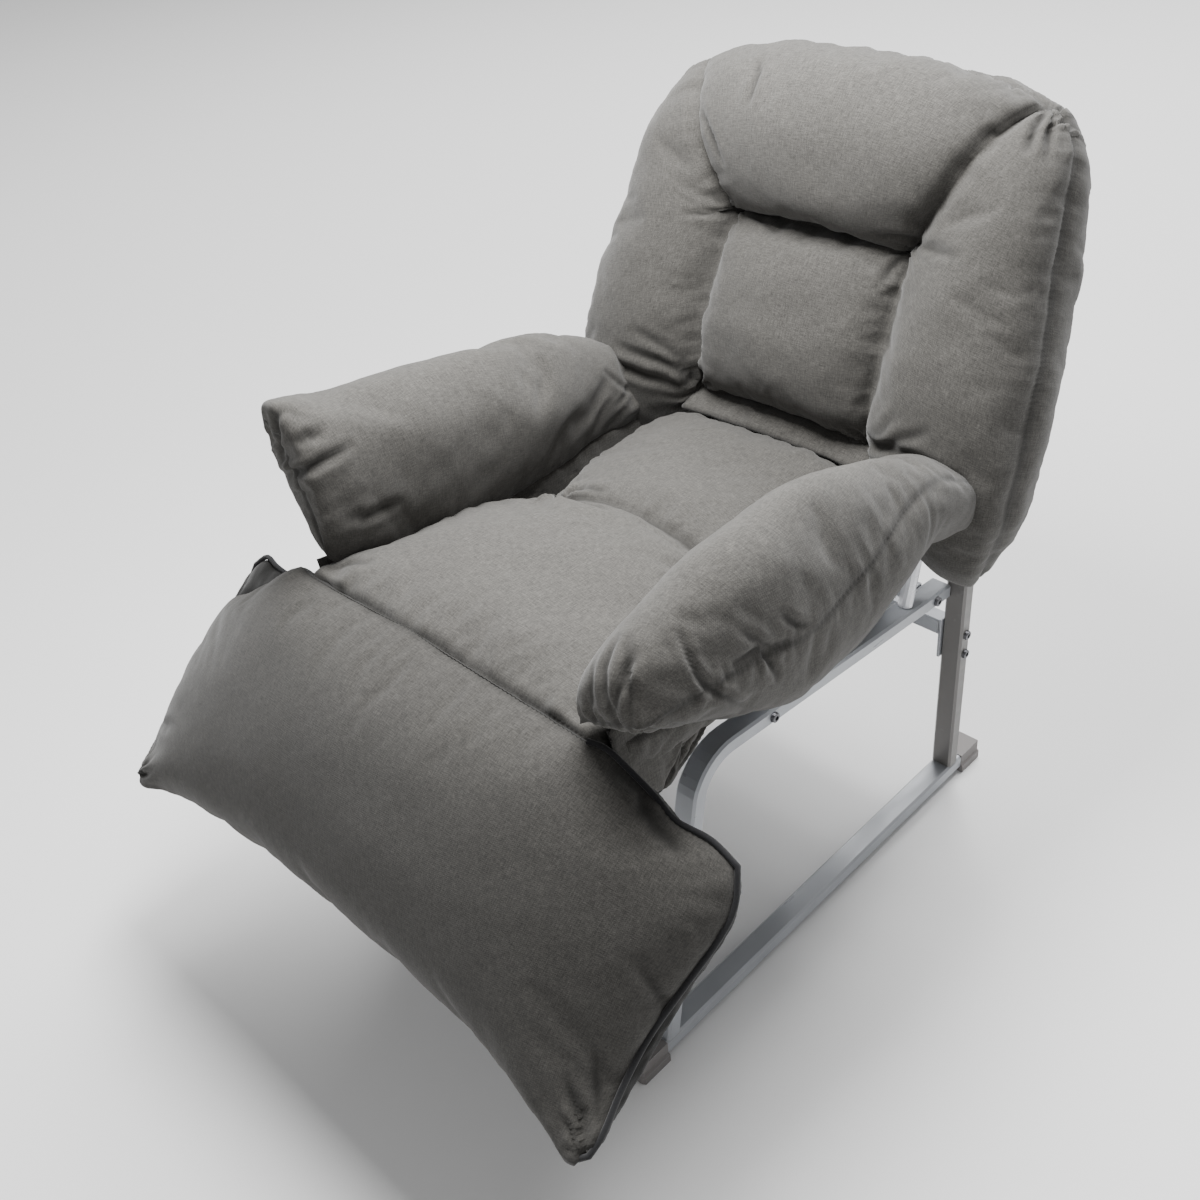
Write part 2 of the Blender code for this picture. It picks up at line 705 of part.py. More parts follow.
# ---------------------------------------------------------------- leg rest
def footrest_frame(name, mat):
    """Bent tube round the leg rest."""
    x = BACK_TUBE_X
    corners = [on_leg(-x, 0.034, 0), on_leg(-x, 0.225, 0), on_leg(x, 0.225, 0), on_leg(x, 0.034, 0)]
    path = filleted(corners, [0.05, 0.05], steps=6)
    inner = circle(LEG_TUBE_RADIUS - TUBE_WALL, 12)
    sweep(name, path, circle(LEG_TUBE_RADIUS, 12), inner, mat, smooth=True)


def footrest_cushion(name, mat):
    """Wide front padding of the leg rest."""
    rear_face = LEG_TUBE_RADIUS + 0.0015
    stations = (
        (0.030, 0.262, rear_face, 0.070),
        (0.048, 0.350, rear_face, 0.092),
        (0.075, 0.396, rear_face, 0.102),
        (0.150, 0.402, rear_face, 0.106),
        (0.215, 0.402, rear_face, 0.104),
        (0.256, 0.400, rear_face, 0.094),
        (0.274, 0.384, 0.0200, 0.080),
    )
    pad_on(name, on_leg, stations, 3.4, mat)


def footrest_rear_cover(name, mat):
    """Rear panel of the leg rest, behind the frame."""
    rear_face = -(LEG_TUBE_RADIUS + 0.0015)
    stations = (
        (0.048, 0.250, -0.026, rear_face),
        (0.080, 0.300, -0.034, rear_face),
        (0.160, 0.320, -0.036, rear_face),
        (0.225, 0.300, -0.032, rear_face),
        (0.252, 0.270, -0.024, rear_face),
    )
    pad_on(name, on_leg, stations, 3.4, mat)


# ---------------------------------------------------------------- whole chair
def build_base(steel, dark, moulded):
    """Side frames, rear crossbar, seat crossbars and their bolts."""
    for side, sign in SIDES:
        base_rail(f"base_rail_{side}", sign, steel)
        foot_shoe(f"foot_shoe_front_{side}", sign, BASE_FRONT, -1, moulded)
        foot_shoe(f"foot_shoe_rear_{side}", sign, BASE_REAR, 1, moulded)
        rear_upright(f"rear_upright_{side}", sign, steel)
        side_bow(f"side_bow_{side}", sign, steel)
        crossbar_flange(f"crossbar_flange_{side}", sign, steel)
        post_face = BASE_X + TUBE_WIDTH / 2
        for level, z in zip(("upper", "lower"), CROSSBAR_BOLT_Z):
            name = f"crossbar_bolt_{level}_{side}"
            bolt(name, sign, post_face, 0.211, (UPRIGHT_Y, z), dark)
        rail_face = BOW_X + TUBE_WIDTH / 2
        for place, y in zip(("front", "rear"), SEAT_BAR_Y):
            bolt(f"seat_bolt_{place}_{side}", sign, rail_face, 0.188, (y, rail_centre(y)), dark)
    rear_crossbar("rear_crossbar", steel)
    for place, y in zip(("front", "rear"), SEAT_BAR_Y):
        seat_crossbar(f"seat_crossbar_{place}", y, steel)


def build_seat(steel, dark, bright, silver, webbing, cloth):
    """Seat frame, arms and seat pad."""
    for side, sign in SIDES:
        seat_side_tube(f"seat_side_tube_{side}", sign, steel)
        arm_tube(f"arm_tube_{side}", sign, silver)
        arm_pad(f"arm_pad_{side}", sign, cloth)
        back_hinge(side, sign, (steel, dark, bright))
        leg_hinge(side, sign, (steel, dark, bright))
    seat_sling("seat_sling", webbing)
    seat_cushion("seat_cushion", cloth)


def build_moving(steel, webbing, cloth):
    """Backrest and leg rest."""
    back_frame("back_frame", steel)
    reach = BACK_TUBE_X - BACK_TUBE_RADIUS - GAP
    cross_tube("back_cross_tube", on_back, 0.150, reach, 0.008, steel)
    back_sling("back_sling", webbing)
    back_cushion("back_cushion", cloth)
    back_rear_cover("back_rear_cover", cloth)
    footrest_frame("footrest_frame", steel)
    reach = BACK_TUBE_X - LEG_TUBE_RADIUS - GAP
    cross_tube("footrest_cross_tube", on_leg, 0.110, reach, 0.007, steel)
    footrest_cushion("footrest_cushion", cloth)
    footrest_rear_cover("footrest_rear_cover", cloth)


def hang_on_pivot(name, pivot, prefixes):
    """Parents the pieces of a moving body to an empty on its hinge line."""
    axis = bpy.data.objects.new(name, None)
    bpy.context.scene.collection.objects.link(axis)
    axis.location = (0, *pivot)
    to_axis = Matrix.Translation((0, -pivot[0], -pivot[1]))
    for obj in list(bpy.data.objects):
        if obj.type == "MESH" and not obj.hide_render and obj.name.startswith(prefixes):
            obj.data.transform(to_axis)
            obj.parent = axis


def main():
    clear_scene()
    steel = material("painted_steel", (0.30, 0.31, 0.33), 0.38, 0.6)
    dark = material("dark_steel", (0.06, 0.06, 0.065), 0.45, 0.8)
    bright = material("zinc_steel", (0.55, 0.56, 0.58), 0.35, 0.9)
    silver = material("silver_steel", (0.52, 0.54, 0.56), 0.32, 0.6)
    moulded = material("grey_plastic", (0.26, 0.25, 0.25), 0.6, 0.0)
    webbing = material("black_webbing", (0.03, 0.03, 0.03), 0.85, 0.0)
    cloth = material("grey_cloth", (0.15, 0.145, 0.135), 0.9, 0.0)
    build_base(steel, dark, moulded)
    build_seat(steel, dark, bright, silver, webbing, cloth)
    build_moving(steel, webbing, cloth)
    hang_on_pivot("back_axis", BACK_PIVOT, ("back_frame", "back_cross", "back_sling", "back_cushion",
                                            "back_rear", "back_hinge_gear"))
    hang_on_pivot("leg_axis", LEG_PIVOT, ("footrest_", "leg_hinge_gear"))
    for obj in bpy.data.objects:
        if obj.parent is None:
            obj.location.y -= ORIGIN_Y


main()
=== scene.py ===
"""The looks of the reclining lounge chair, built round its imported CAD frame.

Covers are sewn from panels: each panel is a surface between four seam curves, blown up like a cushion. A
short cloth simulation with the seams held then eases the cover, and seam grooves, puckers, gathers and
folds finish it.
"""

import json
import math

import bmesh
import bpy
import numpy as np
from mathutils import Matrix, Vector, kdtree

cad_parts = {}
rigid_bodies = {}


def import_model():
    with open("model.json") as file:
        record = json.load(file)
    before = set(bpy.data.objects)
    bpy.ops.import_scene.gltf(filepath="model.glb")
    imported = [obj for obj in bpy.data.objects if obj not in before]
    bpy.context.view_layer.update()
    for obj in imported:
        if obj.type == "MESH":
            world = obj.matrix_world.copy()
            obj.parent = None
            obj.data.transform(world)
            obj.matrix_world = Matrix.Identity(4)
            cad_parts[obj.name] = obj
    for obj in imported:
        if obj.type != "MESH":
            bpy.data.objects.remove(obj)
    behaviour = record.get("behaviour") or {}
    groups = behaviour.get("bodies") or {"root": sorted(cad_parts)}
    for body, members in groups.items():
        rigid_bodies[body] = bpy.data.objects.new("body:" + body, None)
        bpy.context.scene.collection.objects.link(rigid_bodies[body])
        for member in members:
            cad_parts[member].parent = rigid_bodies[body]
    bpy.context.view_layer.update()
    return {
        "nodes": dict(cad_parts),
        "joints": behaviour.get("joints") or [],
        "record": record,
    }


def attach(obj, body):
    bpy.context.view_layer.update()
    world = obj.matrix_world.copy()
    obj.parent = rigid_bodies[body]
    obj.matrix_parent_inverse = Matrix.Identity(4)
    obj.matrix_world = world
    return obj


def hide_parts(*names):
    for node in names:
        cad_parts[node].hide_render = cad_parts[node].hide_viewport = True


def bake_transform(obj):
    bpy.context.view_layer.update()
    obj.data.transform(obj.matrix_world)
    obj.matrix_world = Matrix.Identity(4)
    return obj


for leftover in list(bpy.data.objects):
    bpy.data.objects.remove(leftover, do_unlink=True)

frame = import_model()

JOINT_AT = {j["name"]: Vector(j["pos_m"]) for j in frame["joints"]}
BACK_PIVOT = JOINT_AT["back_recline"]
LEG_PIVOT = JOINT_AT["footrest_lift"]
BACK_LEAN = math.radians(22.0)     # of the back from upright
LEG_HANG = math.radians(37.7)      # of the leg rest from straight down

GRID = 0.0062                      # spacing of a cover's mesh before it is subdivided
SIDES = (("left", -1.0), ("right", 1.0))      # each side's name and its sign of X, as the viewer sees it
SPAN_STEPS = 24                    # points worked out between two given points of a curve


def put_in_scene(name, data):
    """A new object in the scene."""
    obj = bpy.data.objects.new(name, data)
    bpy.context.scene.collection.objects.link(obj)
    return obj


# -------------------------------- places
def on_back(x, along, front):
    """A point on the backrest: along it from the hinge, and in front of its tubes."""
    sin, cos = math.sin(BACK_LEAN), math.cos(BACK_LEAN)
    return (x, BACK_PIVOT.y + along * sin - front * cos, BACK_PIVOT.z + along * cos + front * sin)


def on_leg(x, along, front):
    """A point on the leg rest: along it from the hinge, and in front of its tubes."""
    sin, cos = math.sin(LEG_HANG), math.cos(LEG_HANG)
    return (x, LEG_PIVOT.y - along * sin - front * cos, LEG_PIVOT.z - along * cos + front * sin)


def run_along(points):
    """The distance along a line of points, at each of them."""
    return np.concatenate([[0], np.cumsum(np.linalg.norm(np.diff(points, axis=0), axis=1))])


def spline(points, count):
    """count + 1 evenly spaced points on a smooth curve through some points."""
    pts = np.array(points, float)
    if len(pts) == 2:
        return pts[0] + np.linspace(0, 1, count + 1)[:, None] * (pts[1] - pts[0])
    ext = np.vstack([2 * pts[0] - pts[1], pts, 2 * pts[-1] - pts[-2]])
    t = np.linspace(0, 1, SPAN_STEPS, endpoint=False)[:, None]
    fine = []
    for p0, p1, p2, p3 in zip(ext, ext[1:], ext[2:], ext[3:]):
        square = (2 * p0 - 5 * p1 + 4 * p2 - p3) * t**2
        cube = (-p0 + 3 * p1 - 3 * p2 + p3) * t**3
        fine.append(0.5 * (2 * p1 + (p2 - p0) * t + square + cube))
    fine = np.vstack(fine + [pts[-1:]])
    along = run_along(fine)
    at = np.linspace(0, along[-1], count + 1)
    return np.stack([np.interp(at, along, fine[:, k]) for k in range(3)], 1)


def joined(*curves):
    """Curves laid end to end as one."""
    return np.vstack([c if i == 0 else c[1:] for i, c in enumerate(curves)])


def steps_for(length):
    """How many mesh steps fit a length."""
    return max(2, round(length / GRID))


def seam_line(places, count=None):
    """A seam through some places, in count steps or else in as many as its length needs."""
    places = np.array(places)
    length = np.linalg.norm(np.diff(places, axis=0), axis=1).sum()
    return spline(places, count or steps_for(length))


def rungs(one, other, count):
    """The two straight lines from the ends of one seam to the ends of another, first ends first."""
    return [spline([one[i], other[i]], count) for i in (0, -1)]


def to_side(sign, points):
    """Points that are given for the right side, put on the side with this sign."""
    return [(sign * x, *rest) for x, *rest in points]


def both_sides(points, *middle):
    """Points from the left, through the middle, to the right; points are the right ones, outermost last."""
    return to_side(-1, points[::-1]) + list(middle) + list(points)


# -------------------------------- sewn panels
TAUT_ROUNDS = 900                  # averaging rounds that pull a panel taut
NORMAL_ROUNDS = 12                 # averaging rounds that smooth a panel's normals
MOST_ROUNDS = 9000                 # most rounds that the swelling of a large panel is worked out in


def stretched(bottom, right, top, left):
    """The surface between four seam curves; bottom and top run left to right, left and right run upwards."""
    u = np.linspace(0, 1, len(bottom))[None, :, None]
    v = np.linspace(0, 1, len(left))[:, None, None]
    between = (1 - v) * bottom[None] + v * top[None] + (1 - u) * left[:, None] + u * right[:, None]
    low = (1 - u) * bottom[0] + u * bottom[-1]
    high = (1 - u) * top[0] + u * top[-1]
    return between - (1 - v) * low - v * high


def neighbours(grid):
    """The points beside, beside, above and below each inner point of a grid."""
    return grid[1:-1, 2:], grid[1:-1, :-2], grid[2:, 1:-1], grid[:-2, 1:-1]


def unit(vectors):
    """The same directions with a length of 1."""
    return vectors / np.maximum(np.linalg.norm(vectors, axis=-1, keepdims=True), 1e-12)


def relaxed(grid):
    """The same panel pulled taut between its seams, so that a corner of a seam leaves no ridge."""
    grid = grid.copy()
    for _ in range(TAUT_ROUNDS):
        grid[1:-1, 1:-1] = sum(neighbours(grid)) / 4
    return grid


def swelling(grid):
    """How far a panel swells under air, from 0 at its seams to 1, round like a pillow."""
    right, left, above, below = neighbours(grid)
    across = np.linalg.norm(right - left, axis=2) / 2
    along = np.linalg.norm(above - below, axis=2) / 2
    wu, wv = 1 / np.maximum(across, 1e-5) ** 2, 1 / np.maximum(along, 1e-5) ** 2
    total = 2 * (wu + wv)
    h = np.zeros(grid.shape[:2])
    right, left, above, below = neighbours(h)
    rounds = int(min(MOST_ROUNDS, 3.0 * min(grid.shape[:2]) ** 2 + 300))
    for _ in range(rounds):
        h[1:-1, 1:-1] = (wu * (right + left) + wv * (above + below) + 1) / total
    return np.sqrt(h / h.max())


def grid_normals(grid, outside):
    """A unit normal at each point of a panel, smoothed, on the side that the direction outside is on."""
    du = np.gradient(grid, axis=1)
    dv = np.gradient(grid, axis=0)
    n = unit(np.cross(du, dv))
    if (n.mean((0, 1)) @ np.array(outside, float)) < 0:
        n = -n
    for _ in range(NORMAL_ROUNDS):
        padded = np.pad(n, ((1, 1), (1, 1), (0, 0)), mode="edge")
        n = (sum(neighbours(padded)) + n) / 5
    return unit(n)


def pillow(bottom, right, top, left, crown, outside, power=1.0, over=None, taut=False):
    """One swollen panel, as a grid of points.

    crown is its height, a power over 1 makes its edges flatter, and over says which seams it hangs over, and
    by what shift.
    """
    grid = stretched(bottom, right, top, left)
    if taut:
        grid = relaxed(grid)
    full = swelling(grid)
    u = np.linspace(0, 1, grid.shape[1])[None, :, None]
    v = np.linspace(0, 1, grid.shape[0])[:, None, None]
    weight = {"bottom": 1 - v, "right": u}
    puffed = grid + grid_normals(grid, outside) * (full**power * crown)[:, :, None]
    for seam, shift in (over or {}).items():
        puffed += np.sqrt(full)[:, :, None] * weight[seam] * np.array(shift)
    return puffed


def sewn(name, grids, darker_panels=()):
    """One closed cover from panel grids, welded at their seams; the last argument numbers the panels that are
    coloured much darker.
    """
    verts, faces, spots, keys, held, lining = [], [], [], {}, set(), []
    for number, grid in enumerate(grids):
        rows, cols = grid.shape[:2]
        index = np.zeros((rows, cols), int)
        for r in range(rows):
            for c in range(cols):
                on_rim = r in (0, rows - 1) or c in (0, cols - 1)
                key = tuple(np.round(grid[r, c], 5)) if on_rim else (len(verts),)
                if key not in keys:
                    keys[key] = len(verts)
                    verts.append(grid[r, c])
                    lining.append(float(number in darker_panels))
                index[r, c] = keys[key]
                if on_rim:
                    held.add(keys[key])
        add_quads(index, grid, faces, spots)
    obj = mesh_object(name, verts, faces, spots)
    obj.vertex_groups.new(name="held").add([int(i) for i in held], 1.0, "REPLACE")
    store(obj, "lining", lining)
    return obj


def add_quads(index, grid, faces, spots):
    """Adds a panel grid's faces and cloth coordinates, in metres; a quad with a welded side is a triangle."""
    rows, cols = index.shape
    run_u, run_v = run_along(grid[rows // 2]), run_along(grid[:, cols // 2])
    for r in range(rows - 1):
        for c in range(cols - 1):
            around = ((r, c), (r, c + 1), (r + 1, c + 1), (r + 1, c))
            kept = [at for i, at in enumerate(around) if index[at] != index[around[i - 1]]]
            if len(kept) >= 3:
                faces.append([int(index[at]) for at in kept])
                spots.extend((run_u[at[1]], run_v[at[0]]) for at in kept)


def mesh_object(name, verts, faces, spots):
    """A smooth mesh object with outward faces and cloth coordinates."""
    mesh = bpy.data.meshes.new(name)
    mesh.from_pydata([tuple(v) for v in verts], [], faces)
    mesh.uv_layers.new(name="cloth").data.foreach_set("uv", np.array(spots, np.float32).ravel())
    obj = put_in_scene(name, mesh)
    bm = bmesh.new()
    bm.from_mesh(mesh)
    bmesh.ops.recalc_face_normals(bm, faces=bm.faces)
    bm.to_mesh(mesh)
    bm.free()
    mesh.shade_smooth()
    return obj


def netted(net, cols, rows):
    """A panel grid through rows of control points, each row across and one row after another along."""
    across = np.stack([spline(row, cols) for row in net], 0)
    return np.stack([spline(across[:, c], rows) for c in range(cols + 1)], 1)


def rows_of(collection, name):
    """One vector per item of a mesh's collection, as an array."""
    values = np.zeros(len(collection) * 3, np.float32)
    collection.foreach_get(name, values)
    return values.reshape(-1, 3).astype(float)


def points_of(obj):
    """A mesh's points."""
    return rows_of(obj.data.vertices, "co")


def normals_of(obj):
    """The unit normals at a mesh's points."""
    return rows_of(obj.data.vertex_normals, "vector")


def set_points(obj, points):
    """Moves a mesh's points."""
    obj.data.vertices.foreach_set("co", points.astype(np.float32).ravel())
    obj.data.update()


def push(obj, heights, near=slice(None)):
    """Moves a mesh's points, or the near ones, out along their normals."""
    co, n = points_of(obj), normals_of(obj)
    co[near] += n[near] * heights[:, None]
    set_points(obj, co)


def store(obj, name, values):
    """Keeps a number per point for the material to read."""
    layer = obj.data.attributes.get(name) or obj.data.attributes.new(name, "FLOAT", "POINT")
    layer.data.foreach_set("value", np.asarray(values, np.float32))


def stored(obj, name):
    """The number per point that was kept under this name."""
    layer = obj.data.attributes[name]
    values = np.zeros(len(layer.data), np.float32)
    layer.data.foreach_get("value", values)
    return values


# -------------------------------- cloth simulation
AIR_FRAMES = 20                    # frames that the covers are simulated for


def add_air(obj, pressure, slack):
    """Sets a cover up for the simulation: air inside, seams held, and a little cloth to spare."""
    cloth = obj.modifiers.new("Cloth", "CLOTH").settings
    cloth.quality = 4
    cloth.mass = 0.25
    cloth.tension_stiffness = 18
    cloth.compression_stiffness = 12
    cloth.shear_stiffness = 6
    cloth.bending_stiffness = 0.35
    cloth.use_pressure = True
    cloth.uniform_pressure_force = pressure
    cloth.effector_weights.gravity = 0
    cloth.vertex_group_mass = "held"
    cloth.shrink_min = -slack


def settle(covers):
    """Simulates covers together and keeps their shapes, each with its limit on how far a point moves."""
    for obj, pressure, slack, _ in covers:
        add_air(obj, pressure, slack)
    for step in range(1, AIR_FRAMES + 1):
        bpy.context.scene.frame_set(step)
    graph = bpy.context.evaluated_depsgraph_get()
    shapes = [points_of(obj.evaluated_get(graph)) for obj, *_ in covers]
    for (obj, _, _, cap), shape in zip(covers, shapes):
        rest = points_of(obj)
        move = shape - rest
        far = np.linalg.norm(move, axis=1, keepdims=True)
        move *= np.tanh(far / cap) * cap / np.maximum(far, 1e-9)
        obj.modifiers.clear()
        set_points(obj, rest + move)
    bpy.context.scene.frame_set(1)


# -------------------------------- surface detail
RIPPLE_TERMS = 16                  # sine waves that are added up to make smooth noise


def ripple(points, wave, seed):
    """Smooth noise of about a wavelength at each point, mostly from -1 to 1."""
    draw = np.random.default_rng(seed)
    total = np.zeros(len(points))
    for _ in range(RIPPLE_TERMS):
        way = draw.normal(size=3)
        way *= 2 * math.pi / (wave * draw.uniform(0.75, 1.5) * np.linalg.norm(way))
        total += np.sin(points @ way + draw.uniform(0, 2 * math.pi))
    return total / math.sqrt(RIPPLE_TERMS / 2) / 1.6


def nearest(points, targets):
    """The distance from each point to the nearest target, and which target that is."""
    tree = kdtree.KDTree(len(targets))
    for i, target in enumerate(targets):
        tree.insert(target, i)
    tree.balance()
    found = [tree.find(p) for p in points]
    return np.array([f[2] for f in found]), np.array([f[1] for f in found])


def subdivided(obj):
    """Subdivides a cover once, for good."""
    modifier = obj.modifiers.new("Subdivision", "SUBSURF")
    modifier.levels = modifier.render_levels = 1
    graph = bpy.context.evaluated_depsgraph_get()
    finer = obj.evaluated_get(graph)
    mesh = bpy.data.meshes.new_from_object(finer, preserve_all_data_layers=True, depsgraph=graph)
    obj.modifiers.clear()
    obj.vertex_groups.clear()
    obj.data = mesh
    mesh.shade_smooth()


def seam_points(obj):
    """The held points of a cover, before it is subdivided."""
    return np.array([v.co for v in obj.data.vertices if v.groups], float)


SEAM_SHADE_HALF_WIDTH = 0.005                  # half width of the painted shade along a seam
PUCKER_REACH, PUCKER_WAVE = 0.028, 0.022     # how far puckers run from a seam, and their spacing along it
PUCKER_START = 0.007               # puckers fade out closer to the seam than this


def bell(far, width):
    """1 at no distance, fading away beyond a width."""
    return np.exp(-((far / width) ** 2))


def sew_in(obj, seams, seed, groove=0.0045, groove_width=0.0055, pucker=0.0022):
    """Sinks the seams into a cover, with puckers that run away from them, and paints shade along them."""
    far, which = nearest(points_of(obj), seams)
    folds = ripple(seams[which], PUCKER_WAVE, seed)
    strength = np.exp(-far / PUCKER_REACH) * (1 - bell(far, PUCKER_START))
    sink = groove * bell(far, groove_width)
    push(obj, pucker * strength * folds - sink)
    # painted shade along the seam, kept per point under the name seam
    store(obj, "seam", bell(far, SEAM_SHADE_HALF_WIDTH))


def crumple(obj, height, wave, seed):
    """Gentle unevenness over a whole cover."""
    push(obj, height * ripple(points_of(obj), wave, seed))


def directions(place):
    """The start of a local frame, its across and along directions, and the direction that its front faces."""
    start = np.array(place(0, 0, 0))
    return start, *(np.array(place(*p)) - start for p in ((1, 0, 0), (0, 1, 0), (0, 0, 1)))


VIEWS = {   # per side of the chair: the start of its 2-D points, their two directions, and its facing
    "back": directions(on_back),
    "leg": directions(on_leg),
    "right": directions(lambda across, up, out: (out, across, up)),
    "end": directions(lambda across, up, out: (across, -out, up)),
    "top": directions(lambda across, up, out: (across, up, out)),
}


LINE_STEPS = 60                    # points that a line on a cover is laid through
FACING = 0.15                      # least cosine between a point's normal and the side that it is seen from
FOLD_PRESS = 0.7                   # how much of a fold's stated depth is pressed in
FOLD_RIDGE = 0.3                   # height of the ridges beside a fold, to its depth
FOLD_FULL_SHADE_DEPTH = 0.005                  # a fold this deep gets its full line of painted shade


def along_line(co, points, reach, smooth):
    """The points of a cover near a line laid on it: which, how far from it, and where along it, 0 to 1."""
    line = spline(points, LINE_STEPS)
    near = np.flatnonzero(np.all((co > line.min(0) - reach) & (co < line.max(0) + reach), axis=1))
    local = co[near]
    line = local[np.linalg.norm(local[:, None] - line[None], axis=2).argmin(0)]
    for _ in range(smooth):
        line[1:-1] = (line[:-2] + line[1:-1] + line[2:]) / 3
    gap = np.linalg.norm(local[:, None] - line[None], axis=2)
    return near, gap.min(1), gap.argmin(1) / LINE_STEPS


def seen_from(obj, view, points):
    """Where 2-D points across one side of a cover lie on its surface."""
    start, across, up, facing = VIEWS[view]
    co, n = points_of(obj), normals_of(obj)
    shown = co[n @ facing > FACING]
    flat = np.stack([(shown - start) @ across, (shown - start) @ up], axis=1)
    return [shown[np.linalg.norm(flat - np.array(p), axis=1).argmin()] for p in points]


def crease(obj, points, depth, width):
    """A fold pressed in along a line, deepest in its middle, with a soft ridge each side and a line of
    painted shade.
    """
    near, far, place = along_line(points_of(obj), points, 5 * width + 0.01, 4)
    fade = np.sin(np.pi * np.clip(0.06 + 0.88 * place, 0, 1)) ** 0.7
    valley = bell(far, width)
    ridge = FOLD_RIDGE * bell(far - 1.9 * width, width)
    push(obj, FOLD_PRESS * depth * fade * (ridge - valley), near)
    # painted shade along the fold, added to the seams' painted shade
    shade = stored(obj, "seam")
    line = depth / FOLD_FULL_SHADE_DEPTH * fade * bell(far, 0.7 * width)
    shade[near] = np.maximum(shade[near], np.minimum(line, 0.9))
    store(obj, "seam", shade)


def gather(obj, points, height, wave, reach, seed):
    """Ruched cloth along a seam: uneven small folds that run away from it on both sides."""
    length = np.linalg.norm(np.diff(np.array(points, float), axis=0), axis=1).sum()
    near, far, place = along_line(points_of(obj), points, 2.2 * reach, 1)
    draw = np.random.default_rng(seed)
    turns = 2 * math.pi * length / wave
    folds, runs = np.zeros(len(place)), np.zeros(len(place))
    for share in (0.7, 1.0, 1.45):
        folds += np.sin(turns * share * place + draw.uniform(0, 6.28)) * draw.uniform(0.6, 1.0)
        runs += np.sin(turns * share * 0.6 * place + draw.uniform(0, 6.28)) * 0.2
    fade = np.exp(-far / (reach * (1 + runs))) * (1 - bell(far, 0.004))
    ends = np.clip(np.minimum(place, 1 - place) * 12, 0, 1)
    push(obj, height * fade * folds * ends, near)


def star(obj, centre, reach, height, folds, seed):
    """Folds that fan out from a gathered point."""
    co, n = points_of(obj), normals_of(obj)
    arm = co - np.array(centre)
    far = np.linalg.norm(arm, axis=1)
    near = far < reach * 2.2
    up = unit(n[near].mean(0))
    side = unit(np.cross(up, (0.0, 0.0, 1.0) if abs(up[2]) < 0.9 else (1.0, 0.0, 0.0)))
    turn = np.arctan2(arm @ np.cross(up, side), arm @ side)
    draw = np.random.default_rng(seed)
    wobble = np.zeros(len(co))
    for count in (folds, folds + 3, folds - 2):
        wobble += np.sin(count * turn + draw.uniform(0, 6.28)) * draw.uniform(0.4, 1.0)
    hub = 0.25 * reach
    fade = (far / hub) * np.exp(1 - far / hub) * bell(far, reach)
    push(obj, height * fade * wobble)


# -------------------------------- materials
MIX_INPUTS, MIX_OUTPUT = (0, 6, 7), 2        # of a Mix node's factor, two colours and result


